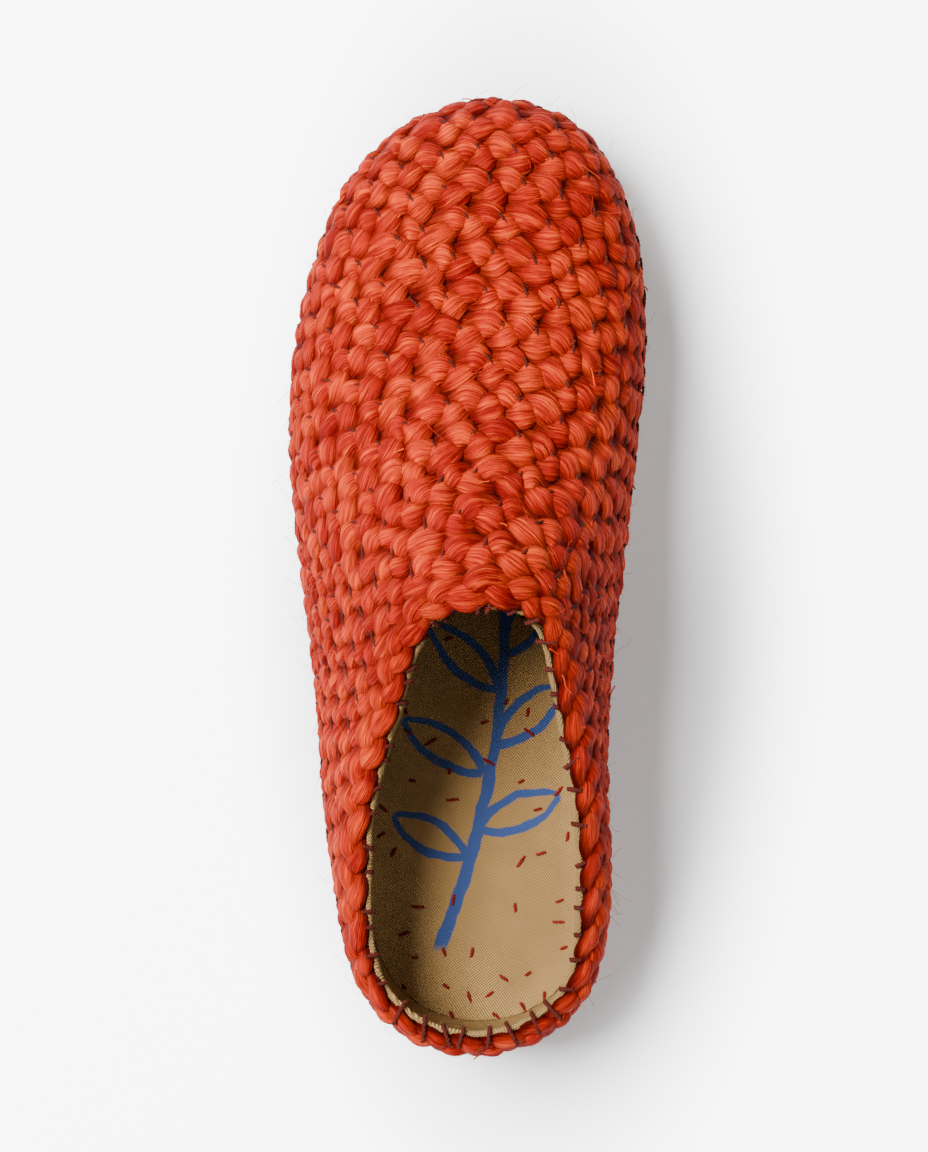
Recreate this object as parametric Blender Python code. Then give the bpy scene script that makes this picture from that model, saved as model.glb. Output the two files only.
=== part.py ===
"""A slipper clog of sewn raffia plaits, left foot, on a foam midsole and a crepe outsole.

+Y points to the toe, +X to the side of the big toe and +Z up. The origin is on the floor under
the middle of the heel. Sizes are in metres. The tables hold shares of the sizes named above them.
Until a mesh is placed, y is measured from the back of the heel.
"""
import math

import bmesh
import bpy
import numpy as np

# Driving sizes of the shoe
LENGTH = 0.272
BALL_WIDTH = 0.103
INSTEP_HEIGHT = 0.098
HEEL_HEIGHT = 0.048
HEEL_TO_ORIGIN = 0.037

# The sole, whose edge lies inside the widest line of the upper
SOLE_END_INSET = 0.004
SOLE_SIDE_INSET = 0.0035
SOLE_LENGTH = LENGTH - 2 * SOLE_END_INSET
SOLE_WIDTH = BALL_WIDTH - 2 * SOLE_SIDE_INSET
OUTSOLE = 0.0055
MIDSOLE = 0.0065
TOE_SPRING = 0.008
ARCH_LIFT = 0.0015
SCALLOP_DEPTH = 0.0005
TREAD_DEPTH = 0.0015
TREAD_PITCH = 0.0074
TREAD_BAR = 0.0028
TREAD_COLUMNS = 6
TREAD_SLANT = math.radians(37)
TREAD_REACH = 0.43
TREAD_ROOT = 0.0009
TREAD_MARGIN = 0.0015
WINDOW_LENGTH = 0.041
WINDOW_WIDTH = 0.035
WINDOW_DEPTH = 0.0026

# The upper and the insole
WALL = 0.005
GIRTH_RISE_HEEL = 0.016
GIRTH_RISE_TOE = 0.007
FEATHER_INSET = 0.0005
RIM_RISE = 0.0015
ROW_PITCH = 0.011
HEEL_ROWS = 4
HEEL_EASE = 1.08
ROW_GATHER = 1.6
CHEVRON = 0.0105
LOBE_HIGH = 0.0016
LOBE_LOW = -0.0003
GROOVE = -0.0014
INSOLE = 0.004

# Clearances
GAP = 0.0003
INSOLE_GAP = 0.0005

# The widest line of the upper seen from above: share of LENGTH from the heel, then the reach to the
# little-toe side and to the big-toe side, as shares of half of BALL_WIDTH
GIRTH_OUTLINE = (
    (0.030, 0.447, 0.495),
    (0.070, 0.621, 0.674),
    (0.110, 0.701, 0.742),
    (0.190, 0.784, 0.784),
    (0.270, 0.839, 0.769),
    (0.380, 0.887, 0.777),
    (0.500, 0.963, 0.839),
    (0.620, 1.029, 0.915),
    (0.700, 1.029, 0.957),
    (0.770, 0.983, 0.971),
    (0.850, 0.866, 0.928),
    (0.930, 0.647, 0.777),
    (0.967, 0.433, 0.625),
)
GIRTH_TIPS = (0.05, 0.14)

# The edge of the sole: share of SOLE_LENGTH, then shares of half of SOLE_WIDTH, as above
SOLE_OUTLINE = (
    (0.036, 0.500, 0.563),
    (0.087, 0.677, 0.740),
    (0.159, 0.750, 0.770),
    (0.254, 0.790, 0.720),
    (0.345, 0.823, 0.615),
    (0.447, 0.875, 0.615),
    (0.553, 0.970, 0.760),
    (0.655, 1.030, 0.917),
    (0.727, 1.020, 0.975),
    (0.811, 0.938, 0.958),
    (0.890, 0.770, 0.875),
    (0.955, 0.520, 0.700),
)
SOLE_TIPS = (0.04, 0.146)

# The ridge of the last: share of LENGTH, its place across as a share of half of BALL_WIDTH
SPINE = (
    (0.15, 0.050),
    (0.35, 0.100),
    (0.47, 0.145),
    (0.60, 0.100),
    (0.80, 0.080),
)

# The ridge's height: share of LENGTH, share of INSTEP_HEIGHT
RIDGE = (
    (0.13, 0.755),
    (0.19, 0.796),
    (0.27, 0.837),
    (0.345, 0.900),
    (0.42, 0.985),
    (0.46, 1.000),
    (0.50, 0.975),
    (0.54, 0.903),
    (0.58, 0.816),
    (0.62, 0.735),
    (0.66, 0.673),
    (0.70, 0.622),
    (0.74, 0.582),
    (0.80, 0.535),
)

# Fullness of the cross-section, as the exponent of a superellipse: share of LENGTH, little-toe side,
# big-toe side
FULLNESS = (
    (0.13, 2.25, 2.3),
    (0.19, 1.95, 2.8),
    (0.27, 1.80, 3.2),
    (0.345, 1.55, 2.6),
    (0.42, 1.5, 2.3),
    (0.50, 1.6, 2.2),
    (0.60, 1.9, 2.1),
    (0.70, 2.2, 2.3),
    (0.80, 2.5, 2.5),
)

# The collar: share of LENGTH, share of the rise from HEEL_HEIGHT to INSTEP_HEIGHT
COLLAR = (
    (0.000, 0.00),
    (0.080, 0.01),
    (0.110, 0.05),
    (0.150, 0.12),
    (0.190, 0.17),
    (0.230, 0.24),
    (0.270, 0.30),
    (0.305, 0.36),
    (0.345, 0.46),
    (0.385, 0.60),
    (0.425, 0.74),
    (0.455, 0.86),
    (0.478, 1.03),
)

# Places along the shoe
HEEL_CENTRE = 0.15 * LENGTH
HEEL_FAN = 0.28 * LENGTH
TOE_FAN = 0.66 * LENGTH
TOE_CENTRE = 0.80 * LENGTH
SPRING_START = 0.72 * LENGTH
ARCH_BACK = 0.31 * LENGTH
ARCH_FRONT = 0.55 * LENGTH
TREAD_START = 0.44 * LENGTH
TREAD_FADE = 0.05 * LENGTH
WINDOW_CENTRE = 0.281 * LENGTH

# How finely the forms are drawn
RAYS = 360
FLANK_STEPS = 24
CROWN_STEPS = 120
RAY_STEPS = 120
SPAN_STEPS = 12
ROW_STEPS = 60
COLLAR_WAVES = 9
SOLE_POINTS = 96
BEND_PITCH = 0.012
SCALLOP_POINTS = 4
INNER_POINTS = 96
INNER_LINES = (0.0, 0.06, 0.14, 0.25, 0.42, 0.62, 0.82, 1.0)
ROW_LINES = (0.28, 0.72)
WINDOW_POINTS = 32


def slopes(gaps, values, closed):
    """Slopes at the knots of a cubic spline whose curvature has no steps."""
    count = len(values)
    matrix = np.zeros((count, count))
    right = np.zeros(values.shape)
    for i in range(count):
        after = (i + 1) % count
        before = i - 1
        if closed or 0 < i < count - 1:
            matrix[i, before] += 1 / gaps[before]
            matrix[i, i] += 2 / gaps[before] + 2 / gaps[i]
            matrix[i, after] += 1 / gaps[i]
            right[i] = 3 * (values[after] - values[i]) / gaps[i] ** 2
            right[i] += 3 * (values[i] - values[before]) / gaps[before] ** 2
        else:
            near = 1 if i == 0 else before
            gap = gaps[0] if i == 0 else -gaps[-1]
            matrix[i, i] = 2
            matrix[i, near] = 1
            right[i] = 3 * (values[near] - values[i]) / gap
    return np.linalg.solve(matrix, right)


def hermite(share, gap, start, end, start_slope, end_slope):
    """A point of the cubic between two knots."""
    return (start * (1 + 2 * share) * (1 - share) ** 2 + end * share ** 2 * (3 - 2 * share)
            + gap * (start_slope * share * (1 - share) ** 2 - end_slope * share ** 2 * (1 - share)))


def column(table, index, share):
    """One column of a table, read smoothly at a share of the length."""
    rows = np.array(table)
    knots, values = rows[:, 0], rows[:, index]
    gaps = np.diff(knots)
    slope = slopes(gaps, values, False)
    share = np.clip(share, knots[0], knots[-1])
    i = np.clip(np.searchsorted(knots, share, side="right") - 1, 0, len(gaps) - 1)
    return hermite((share - knots[i]) / gaps[i], gaps[i], values[i], values[i + 1], slope[i], slope[i + 1])


def lengths(points):
    """Distance along a line of points, from its first point."""
    steps = np.linalg.norm(np.diff(points, axis=0), axis=1)
    return np.concatenate([[0.0], np.cumsum(steps)])


def even_loop(points, count):
    """Evenly spaced points round a closed line."""
    ring = np.vstack([points, points[:1]])
    along = lengths(ring)
    at = np.arange(count) * along[-1] / count
    return np.stack([np.interp(at, along, ring[:, axis]) for axis in range(ring.shape[1])], axis=1)


def outline(table, tips, length, half_width, back, count):
    """A smooth closed outline: up the little-toe side, round the toe, and back on the other side."""
    rows = np.array(table)
    heel = [(tips[0] * half_width, back)]
    toe = [(tips[1] * half_width, back + length)]
    outer = [(-row[1] * half_width, back + row[0] * length) for row in rows]
    inner = [(row[2] * half_width, back + row[0] * length) for row in rows[::-1]]
    points = np.array(heel + outer + toe + inner)
    following = np.roll(points, -1, axis=0)
    gaps = np.linalg.norm(following - points, axis=1)
    slope = slopes(gaps, points, True)
    fine = []
    for share in np.linspace(0, 1, 24, endpoint=False):
        fine.append(hermite(share, gaps[:, None], points, following, slope, np.roll(slope, -1, axis=0)))
    return even_loop(np.stack(fine, axis=1).reshape(-1, 2), count)


def lift(y):
    """Height of the tread off the floor: the toe spring and the low arch."""
    spring = np.clip((y - SPRING_START) / (LENGTH - SPRING_START), 0, None)
    arch = np.clip((y - ARCH_BACK) / (ARCH_FRONT - ARCH_BACK), 0, 1)
    return TOE_SPRING * spring ** 2 + ARCH_LIFT * np.sin(math.pi * arch) ** 2


def sole_top(y):
    """Height of the midsole's upper face."""
    return OUTSOLE + MIDSOLE + lift(y)


def zip_lines(first, second):
    """Triangles between two lines of (position, vertex) pairs that start and end together."""
    faces = []
    i = j = 0
    while i < len(first) - 1 or j < len(second) - 1:
        if j == len(second) - 1:
            on_first = True
        else:
            on_first = i < len(first) - 1 and first[i + 1][0] <= second[j + 1][0]
        corner = first[i + 1][1] if on_first else second[j + 1][1]
        face = (first[i][1], second[j][1], corner)
        if len(set(face)) == 3:
            faces.append(face)
        i += on_first
        j += not on_first
    return faces


def new_mesh(name, vertices, faces):
    """A mesh of triangles that face out."""
    mesh = bpy.data.meshes.new(name)
    mesh.from_pydata([tuple(map(float, vertex)) for vertex in vertices], [], faces)
    work = bmesh.new()
    work.from_mesh(mesh)
    bmesh.ops.triangulate(work, faces=work.faces)
    bmesh.ops.recalc_face_normals(work, faces=work.faces)
    work.to_mesh(mesh)
    work.free()
    return mesh


def combined(body, tool, operation):
    """The mesh that a Boolean of two meshes leaves."""
    objects = [bpy.data.objects.new("work", mesh) for mesh in (body, tool)]
    for item in objects:
        bpy.context.scene.collection.objects.link(item)
    modifier = objects[0].modifiers.new("combine", "BOOLEAN")
    modifier.operation = operation
    modifier.object = objects[1]
    modifier.solver = "MANIFOLD"
    graph = bpy.context.evaluated_depsgraph_get()
    result = bpy.data.meshes.new_from_object(objects[0].evaluated_get(graph))
    for item in objects:
        bpy.data.objects.remove(item)
    return result


def bend(mesh):
    """Split a flat mesh's faces into triangles and lift it to the sole's own curve."""
    work = bmesh.new()
    work.from_mesh(mesh)
    bmesh.ops.remove_doubles(work, verts=work.verts, dist=GAP / 10)
    bmesh.ops.triangulate(work, faces=work.faces)
    for vertex in work.verts:
        vertex.co.z += float(lift(vertex.co.y))
    work.to_mesh(mesh)
    work.free()
    return mesh


def material(name, colour, roughness):
    """A plain finish in the piece's own colour."""
    finish = bpy.data.materials.new(name)
    finish.use_nodes = True
    shader = finish.node_tree.nodes["Principled BSDF"]
    shader.inputs["Base Color"].default_value = (*colour, 1)
    shader.inputs["Roughness"].default_value = roughness
    shader.inputs["Metallic"].default_value = 0.0
    return finish


def place(name, mesh, finish):
    """Put a finished mesh into the scene, with the origin under the middle of the heel."""
    for vertex in mesh.vertices:
        vertex.co.y -= HEEL_TO_ORIGIN
    mesh.materials.clear()
    mesh.materials.append(finish)
    mesh.shade_smooth()
    mesh.set_sharp_from_angle(angle=math.radians(40))
    item = bpy.data.objects.new(name, mesh)
    bpy.context.scene.collection.objects.link(item)
    return item


def sole_loop(count):
    """The sole's edge."""
    return outline(SOLE_OUTLINE, SOLE_TIPS, SOLE_LENGTH, SOLE_WIDTH / 2, SOLE_END_INSET, count)


def inward(loop, distance):
    """A closed outline moved in by a distance, point by point."""
    tangent = np.roll(loop, -1, axis=0) - np.roll(loop, 1, axis=0)
    tangent /= np.linalg.norm(tangent, axis=1)[:, None]
    normal = np.stack([tangent[:, 1], -tangent[:, 0]], axis=1)
    return loop + normal * np.reshape(distance, (-1, 1))


def tips_of(loop):
    """Which points of an outline are its heel and its toe."""
    return int(np.argmin(loop[:, 1])), int(np.argmax(loop[:, 1]))


def sides(loop, tips):
    """The two sides of an outline, each from heel to toe."""
    ring = np.roll(loop, -tips[0], axis=0)
    toe = (tips[1] - tips[0]) % len(loop)
    return ring[:toe + 1], np.vstack([ring[:1], ring[:toe - 1:-1]])


def slab(name, low_loop, high_loop, low, high):
    """A closed slab between two outlines. Its faces run across, so that it bends cleanly."""
    vertices = []
    rows = []
    for loop, height in ((low_loop, low), (high_loop, high)):
        near, far = sides(loop, tips_of(low_loop))
        left = [(point[1], len(vertices) + i) for i, point in enumerate(near)]
        vertices += [(x, y, height) for x, y in near]
        right = [(point[1], len(vertices) + i) for i, point in enumerate(far[1:-1])]
        vertices += [(x, y, height) for x, y in far[1:-1]]
        rows.append((left, left[:1] + right + left[-1:]))
    faces = []
    for left, right in rows:
        faces += zip_lines(left, right)
    for side in (0, 1):
        lower, upper = ([vertex for _, vertex in row[side]] for row in rows)
        faces += list(zip(lower, lower[1:], upper[1:], upper))
    return new_mesh(name, vertices, faces)


def prism(name, loop, low, high, stations=()):
    """A flat slab of one outline, cut across at the stations so that it bends there."""
    work = bmesh.new()
    floor = work.faces.new([work.verts.new((x, y, low)) for x, y in loop])
    walls = bmesh.ops.extrude_face_region(work, geom=[floor])["geom"]
    for item in walls:
        if isinstance(item, bmesh.types.BMVert):
            item.co.z = high
    for station in stations:
        everything = work.verts[:] + work.edges[:] + work.faces[:]
        bmesh.ops.bisect_plane(work, geom=everything, dist=GAP / 10,
                               plane_co=(0, station, 0), plane_no=(0, 1, 0))
    bmesh.ops.recalc_face_normals(work, faces=work.faces)
    mesh = bpy.data.meshes.new(name)
    work.to_mesh(mesh)
    work.free()
    return mesh


def bend_stations(start):
    """Lines across the sole at which its faces are split, so that the lift has a smooth curve."""
    count = round((LENGTH - start) / BEND_PITCH)
    return start + (LENGTH - start) * np.arange(count) / count


def scalloped_loop():
    """The outsole's edge, with the shallow scallops of the forefoot's sides."""
    around = lengths(sole_loop(SOLE_POINTS))[-1]
    loop = sole_loop(round(around / TREAD_PITCH) * SCALLOP_POINTS)
    wave = np.cos(2 * math.pi * np.arange(len(loop)) / SCALLOP_POINTS)
    fade = np.clip((loop[:, 1] - TREAD_START) / TREAD_FADE, 0, 1)
    scalloped = inward(loop, SCALLOP_DEPTH * fade * (0.5 - 0.5 * wave))
    plain = (fade == 0) & (np.arange(len(loop)) % 2 == 1)
    return scalloped[~plain]


def bar(centre, lean, half):
    """The corners and faces of one slanting bar, from the floor up into the outsole."""
    along = np.array((math.cos(lean), math.sin(lean))) * half
    across = np.array((-math.sin(lean), math.cos(lean))) * TREAD_BAR / 2
    corners = []
    for height in (0.0, TREAD_DEPTH + TREAD_ROOT):
        for u, v in ((-1, -1), (1, -1), (1, 1), (-1, 1)):
            corners.append((*(centre + u * along + v * across), height))
    return corners, ((0, 3, 2, 1), (4, 5, 6, 7), (0, 1, 5, 4), (1, 2, 6, 5), (2, 3, 7, 6), (3, 0, 4, 7))


def tread_bars():
    """Slanting bars in columns, each column leaning the other way, clipped to the forefoot."""
    width = SOLE_WIDTH / TREAD_COLUMNS
    half = TREAD_REACH * width / math.cos(TREAD_SLANT)
    edge = inward(sole_loop(SOLE_POINTS), TREAD_MARGIN)
    left, right = sides(edge, tips_of(edge))
    vertices = []
    faces = []
    for at in range(TREAD_COLUMNS):
        x = (at - (TREAD_COLUMNS - 1) / 2) * width
        lean = TREAD_SLANT if at % 2 else -TREAD_SLANT
        start = TREAD_START + half * math.sin(TREAD_SLANT) + TREAD_BAR
        for y in np.arange(start + TREAD_PITCH / 2 * (at % 2), left[-1, 1] - TREAD_BAR, TREAD_PITCH):
            near = np.interp(y, left[:, 1], left[:, 0]) + TREAD_BAR
            far = np.interp(y, right[:, 1], right[:, 0]) - TREAD_BAR
            if near < x < far:
                corners, box = bar(np.array((x, y)), lean, half)
                faces += [tuple(len(vertices) + corner for corner in face) for face in box]
                vertices += corners
    bars = new_mesh("bars", vertices, faces)
    return combined(bars, prism("limit", edge, -OUTSOLE, OUTSOLE), "INTERSECT")


def window_plug(clearance, low, high):
    """The oval of the window as a straight plug."""
    turn = 2 * math.pi * np.arange(WINDOW_POINTS) / WINDOW_POINTS
    centre = column(SPINE, 1, WINDOW_CENTRE / LENGTH) * BALL_WIDTH / 2
    oval = np.stack([centre - (WINDOW_WIDTH / 2 - clearance) * np.sin(turn),
                     WINDOW_CENTRE - (WINDOW_LENGTH / 2 - clearance) * np.cos(turn)], axis=1)
    return prism("plug", oval, low, high)


def outsole():
    """The crepe outsole: a smooth heel, herringbone bars under the forefoot and the oval window."""
    stations = [*bend_stations(ARCH_BACK), TREAD_START, TREAD_START + TREAD_DEPTH / 2]
    body = prism("outsole", scalloped_loop(), 0.0, OUTSOLE, stations)
    for vertex in body.vertices:
        if vertex.co.y > TREAD_START + GAP and vertex.co.z < GAP:
            vertex.co.z = TREAD_DEPTH
    body = combined(body, tread_bars(), "UNION")
    body = combined(body, window_plug(0.0, -OUTSOLE, 2 * OUTSOLE), "DIFFERENCE")
    return bend(body)


def midsole():
    """The foam midsole, with the boss that shows white through the outsole's window."""
    stations = bend_stations(ARCH_BACK)
    body = prism("midsole", sole_loop(SOLE_POINTS), OUTSOLE + GAP, OUTSOLE + MIDSOLE, stations)
    boss = window_plug(GAP, WINDOW_DEPTH, OUTSOLE + MIDSOLE / 2)
    return bend(combined(body, boss, "UNION"))


def cross(first, second):
    """The turn from one flat vector to another."""
    return first[..., 0] * second[..., 1] - first[..., 1] * second[..., 0]


def read(grid, u, v):
    """A value of a grid, at shares u round the shoe and v along its lines."""
    count, steps = grid.shape[0], grid.shape[1] - 1
    u = (np.asarray(u) % 1.0) * count
    v = np.clip(np.asarray(v), 0, 1) * steps
    i, j = np.floor(u).astype(int), np.minimum(np.floor(v).astype(int), steps - 1)
    s, t = (u - i)[..., None], (v - j)[..., None]
    near, far = i % count, (i + 1) % count
    return ((grid[near, j] * (1 - s) + grid[far, j] * s) * (1 - t)
            + (grid[near, j + 1] * (1 - s) + grid[far, j + 1] * s) * t)


class Last:
    """The outer form of the upper, before its plaits.

    Lines in upright planes run from the sole's edge over the widest line of the upper to the ridge.
    The upper is then laid flat along these lines, where rows of plait can be set out.
    """

    def __init__(self):
        girth = outline(GIRTH_OUTLINE, GIRTH_TIPS, LENGTH, BALL_WIDTH / 2, 0.0, RAYS)
        y = girth[:, 1]
        heel, toe = HEEL_FAN - HEEL_CENTRE, TOE_CENTRE - TOE_FAN
        fan = np.where(y > TOE_FAN, TOE_FAN + toe * np.tanh((y - TOE_FAN) / toe), y)
        fan = np.where(y < HEEL_FAN, HEEL_FAN - heel * np.tanh((HEEL_FAN - y) / heel), fan)
        share = fan / LENGTH
        self.root = np.stack([column(SPINE, 1, share) * BALL_WIDTH / 2, fan], axis=1)
        reach = np.linalg.norm(girth - self.root, axis=1)
        self.way = (girth - self.root) / reach[:, None]
        self.foot = self.edge_distance() - FEATHER_INSET
        self.low = sole_top(self.root[:, 1] + self.way[:, 1] * self.foot) + GAP
        widest = reach - LOBE_HIGH
        girth_height = self.low + GIRTH_RISE_HEEL + (GIRTH_RISE_TOE - GIRTH_RISE_HEEL) * y / LENGTH
        ridge = column(RIDGE, 1, share) * INSTEP_HEIGHT - LOBE_HIGH
        side = 0.5 + 0.5 * self.way[:, 0]
        power = column(FULLNESS, 1, share) * (1 - side) + column(FULLNESS, 2, share) * side
        self.total = np.zeros(RAYS)
        self.points = np.zeros((RAYS, RAY_STEPS + 1, 3))
        rise = np.arange(FLANK_STEPS) / FLANK_STEPS
        turn = np.linspace(0, math.pi / 2, CROWN_STEPS + 1)
        for i in range(RAYS):
            bend_power = 2 / power[i]
            out = widest[i] - (widest[i] - self.foot[i]) * (1 - rise) ** 2
            out = np.append(out, widest[i] * np.clip(np.cos(turn), 0, 1) ** bend_power)
            up = self.low[i] + (girth_height[i] - self.low[i]) * rise
            up = np.append(up, girth_height[i] + (ridge[i] - girth_height[i]) * np.sin(turn) ** bend_power)
            along = lengths(np.stack([out, up], axis=1))
            at = np.linspace(0, along[-1], RAY_STEPS + 1)
            self.total[i] = along[-1]
            self.points[i, :, :2] = self.root[i] + self.way[i] * np.interp(at, along, out)[:, None]
            self.points[i, :, 2] = np.interp(at, along, up)
        self.toe = int(np.argmax(self.points[:, 0, 1]))
        self.lay_out()
        self.count_rows()

    def edge_distance(self):
        """How far the sole's edge is from the ridge along each line."""
        loop = sole_loop(RAYS)
        distance = np.zeros(RAYS)
        for i in range(RAYS):
            offset = loop - self.root[i]
            turn = cross(self.way[i], offset)
            ahead = offset @ self.way[i]
            later, further = np.roll(turn, -1), np.roll(ahead, -1)
            hit = (turn > 0) & (later <= 0) & (ahead + further > 0)
            share = turn[hit] / (turn[hit] - later[hit])
            distance[i] = np.max(ahead[hit] + share * (further[hit] - ahead[hit]))
        return distance

    def collar(self):
        """The collar's edge on the flattened upper, from the heel round by the little-toe side."""
        y = self.points[:, :, 1] / LENGTH
        edge = HEEL_HEIGHT + (INSTEP_HEIGHT - HEEL_HEIGHT) * column(COLLAR, 1, y) - RIM_RISE
        above = self.points[:, :, 2] - edge
        flat = []
        order = []
        for i in range(RAYS):
            crossing = np.flatnonzero((above[i, :-1] < 0) & (above[i, 1:] >= 0))
            if len(crossing) == 0 or y[i, 0] > COLLAR[-1][0]:
                continue
            at = crossing[0]
            share = at + above[i, at] / (above[i, at] - above[i, at + 1])
            flat.append(self.root[i] + self.way[i] * self.total[i] * (1 - share / RAY_STEPS))
            order.append(i if i < RAYS // 2 else i - RAYS)
        line = np.array(flat)[np.argsort(order)]
        ring = even_loop(line, RAYS)
        waves = np.fft.fft(ring[:, 0] + 1j * ring[:, 1])
        keep = np.abs(np.fft.fftfreq(RAYS) * RAYS) <= COLLAR_WAVES
        smooth = np.fft.ifft(waves * keep)
        ring = np.stack([smooth.real, smooth.imag], axis=1)
        return np.roll(ring, -int(np.argmin(ring[:, 1])), axis=0)

    def lay_out(self):
        """Lines from the sole's edge to the collar, on which the rows of plait are counted."""
        base = self.root + self.way * self.total[:, None]
        collar = self.collar()
        throat = int(np.argmax(collar[:, 1]))
        ray = np.arange(RAYS)
        half = np.where(ray <= self.toe, ray / self.toe, (RAYS - ray) / (RAYS - self.toe))
        share = 1 - (1 - half) ** 2
        target = np.where(ray <= self.toe, share * throat, RAYS - share * (RAYS - throat))
        ring = np.vstack([collar, collar[:1]])
        ends = np.stack([np.interp(target, np.arange(RAYS + 1), ring[:, axis]) for axis in (0, 1)], axis=1)
        self.grid = np.zeros((RAYS, ROW_STEPS + 1, 3))
        for step in range(ROW_STEPS + 1):
            self.grid[:, step] = self.fold_up(base + (ends - base) * step / ROW_STEPS)
        across = np.roll(self.grid, -1, axis=0) - np.roll(self.grid, 1, axis=0)
        normal = np.cross(np.gradient(self.grid, axis=1), across)
        self.normal = normal / np.linalg.norm(normal, axis=2)[..., None]

    def count_rows(self):
        """How many rows of plait lie between the collar and the sole's edge, all round."""
        reach = np.linalg.norm(np.diff(self.grid, axis=1), axis=2).sum(axis=1)
        short, long = reach[0] * HEEL_EASE, reach[self.toe]
        share = np.clip((reach - short) / (long - short), 0, 1)
        self.rows = max(HEEL_ROWS + 1, round(long / ROW_PITCH))
        count = HEEL_ROWS + (self.rows - HEEL_ROWS) * (1 - (1 - share) ** ROW_GATHER)
        rising = np.maximum.accumulate(count[:self.toe + 1])
        falling = np.maximum.accumulate(count[self.toe + 1:][::-1])[::-1]
        self.count = np.concatenate([rising, falling, rising[:1]])

    def fold_up(self, flat):
        """Points of the upper from their places on the flattened upper."""
        offset = flat[:, None, :] - self.root[None]
        turn = cross(self.way[None], offset)
        ahead = np.sum(offset * self.way[None], axis=2)
        later = np.roll(turn, -1, axis=1)
        further = np.roll(ahead, -1, axis=1)
        hit = (turn < 0) & (later >= 0) & (ahead + further > -GAP)
        best = np.argmax(np.where(hit, ahead + further, -1.0), axis=1)
        at = np.arange(len(flat))
        share = -turn[at, best] / np.maximum(later[at, best] - turn[at, best], 1e-12)
        after = (best + 1) % RAYS
        distance = ahead[at, best] * (1 - share) + further[at, best] * share
        total = self.total[best] * (1 - share) + self.total[after] * share
        return read(self.points, (best + share) / RAYS, 1 - np.clip(distance, 0, None) / total)

    def rows_at(self, u):
        """The number of rows at positions round the shoe, heel to heel from 0 to 1."""
        return np.interp(np.asarray(u) * RAYS, np.arange(RAYS + 1), self.count)

    def span(self, row):
        """The stretch round the shoe that a row covers: the front rows end at the sole's edge."""
        if row < HEEL_ROWS:
            return 0.0, 1.0
        u = np.linspace(0, 1, SPAN_STEPS * RAYS + 1)
        inside = np.flatnonzero(self.rows_at(u) > row)
        return u[inside[0]], u[inside[-1]]

    def point(self, u, row, height=0.0):
        """A point at a distance from the collar counted in rows, raised off the form."""
        t = 1 - np.asarray(row) / self.rows_at(u)
        return read(self.grid, u, t) + read(self.normal, u, t) * np.reshape(height, (-1, 1))

    def spaced(self, row_of, start, end, pitch, multiple=1):
        """Positions at an even pitch along a line, its two ends included."""
        u = np.linspace(start, end, SPAN_STEPS * RAYS)
        along = lengths(self.point(u, row_of(u)))
        count = max(multiple, multiple * round(along[-1] / pitch / multiple))
        return np.interp(np.linspace(0, along[-1], count + 1), along, u)


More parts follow.
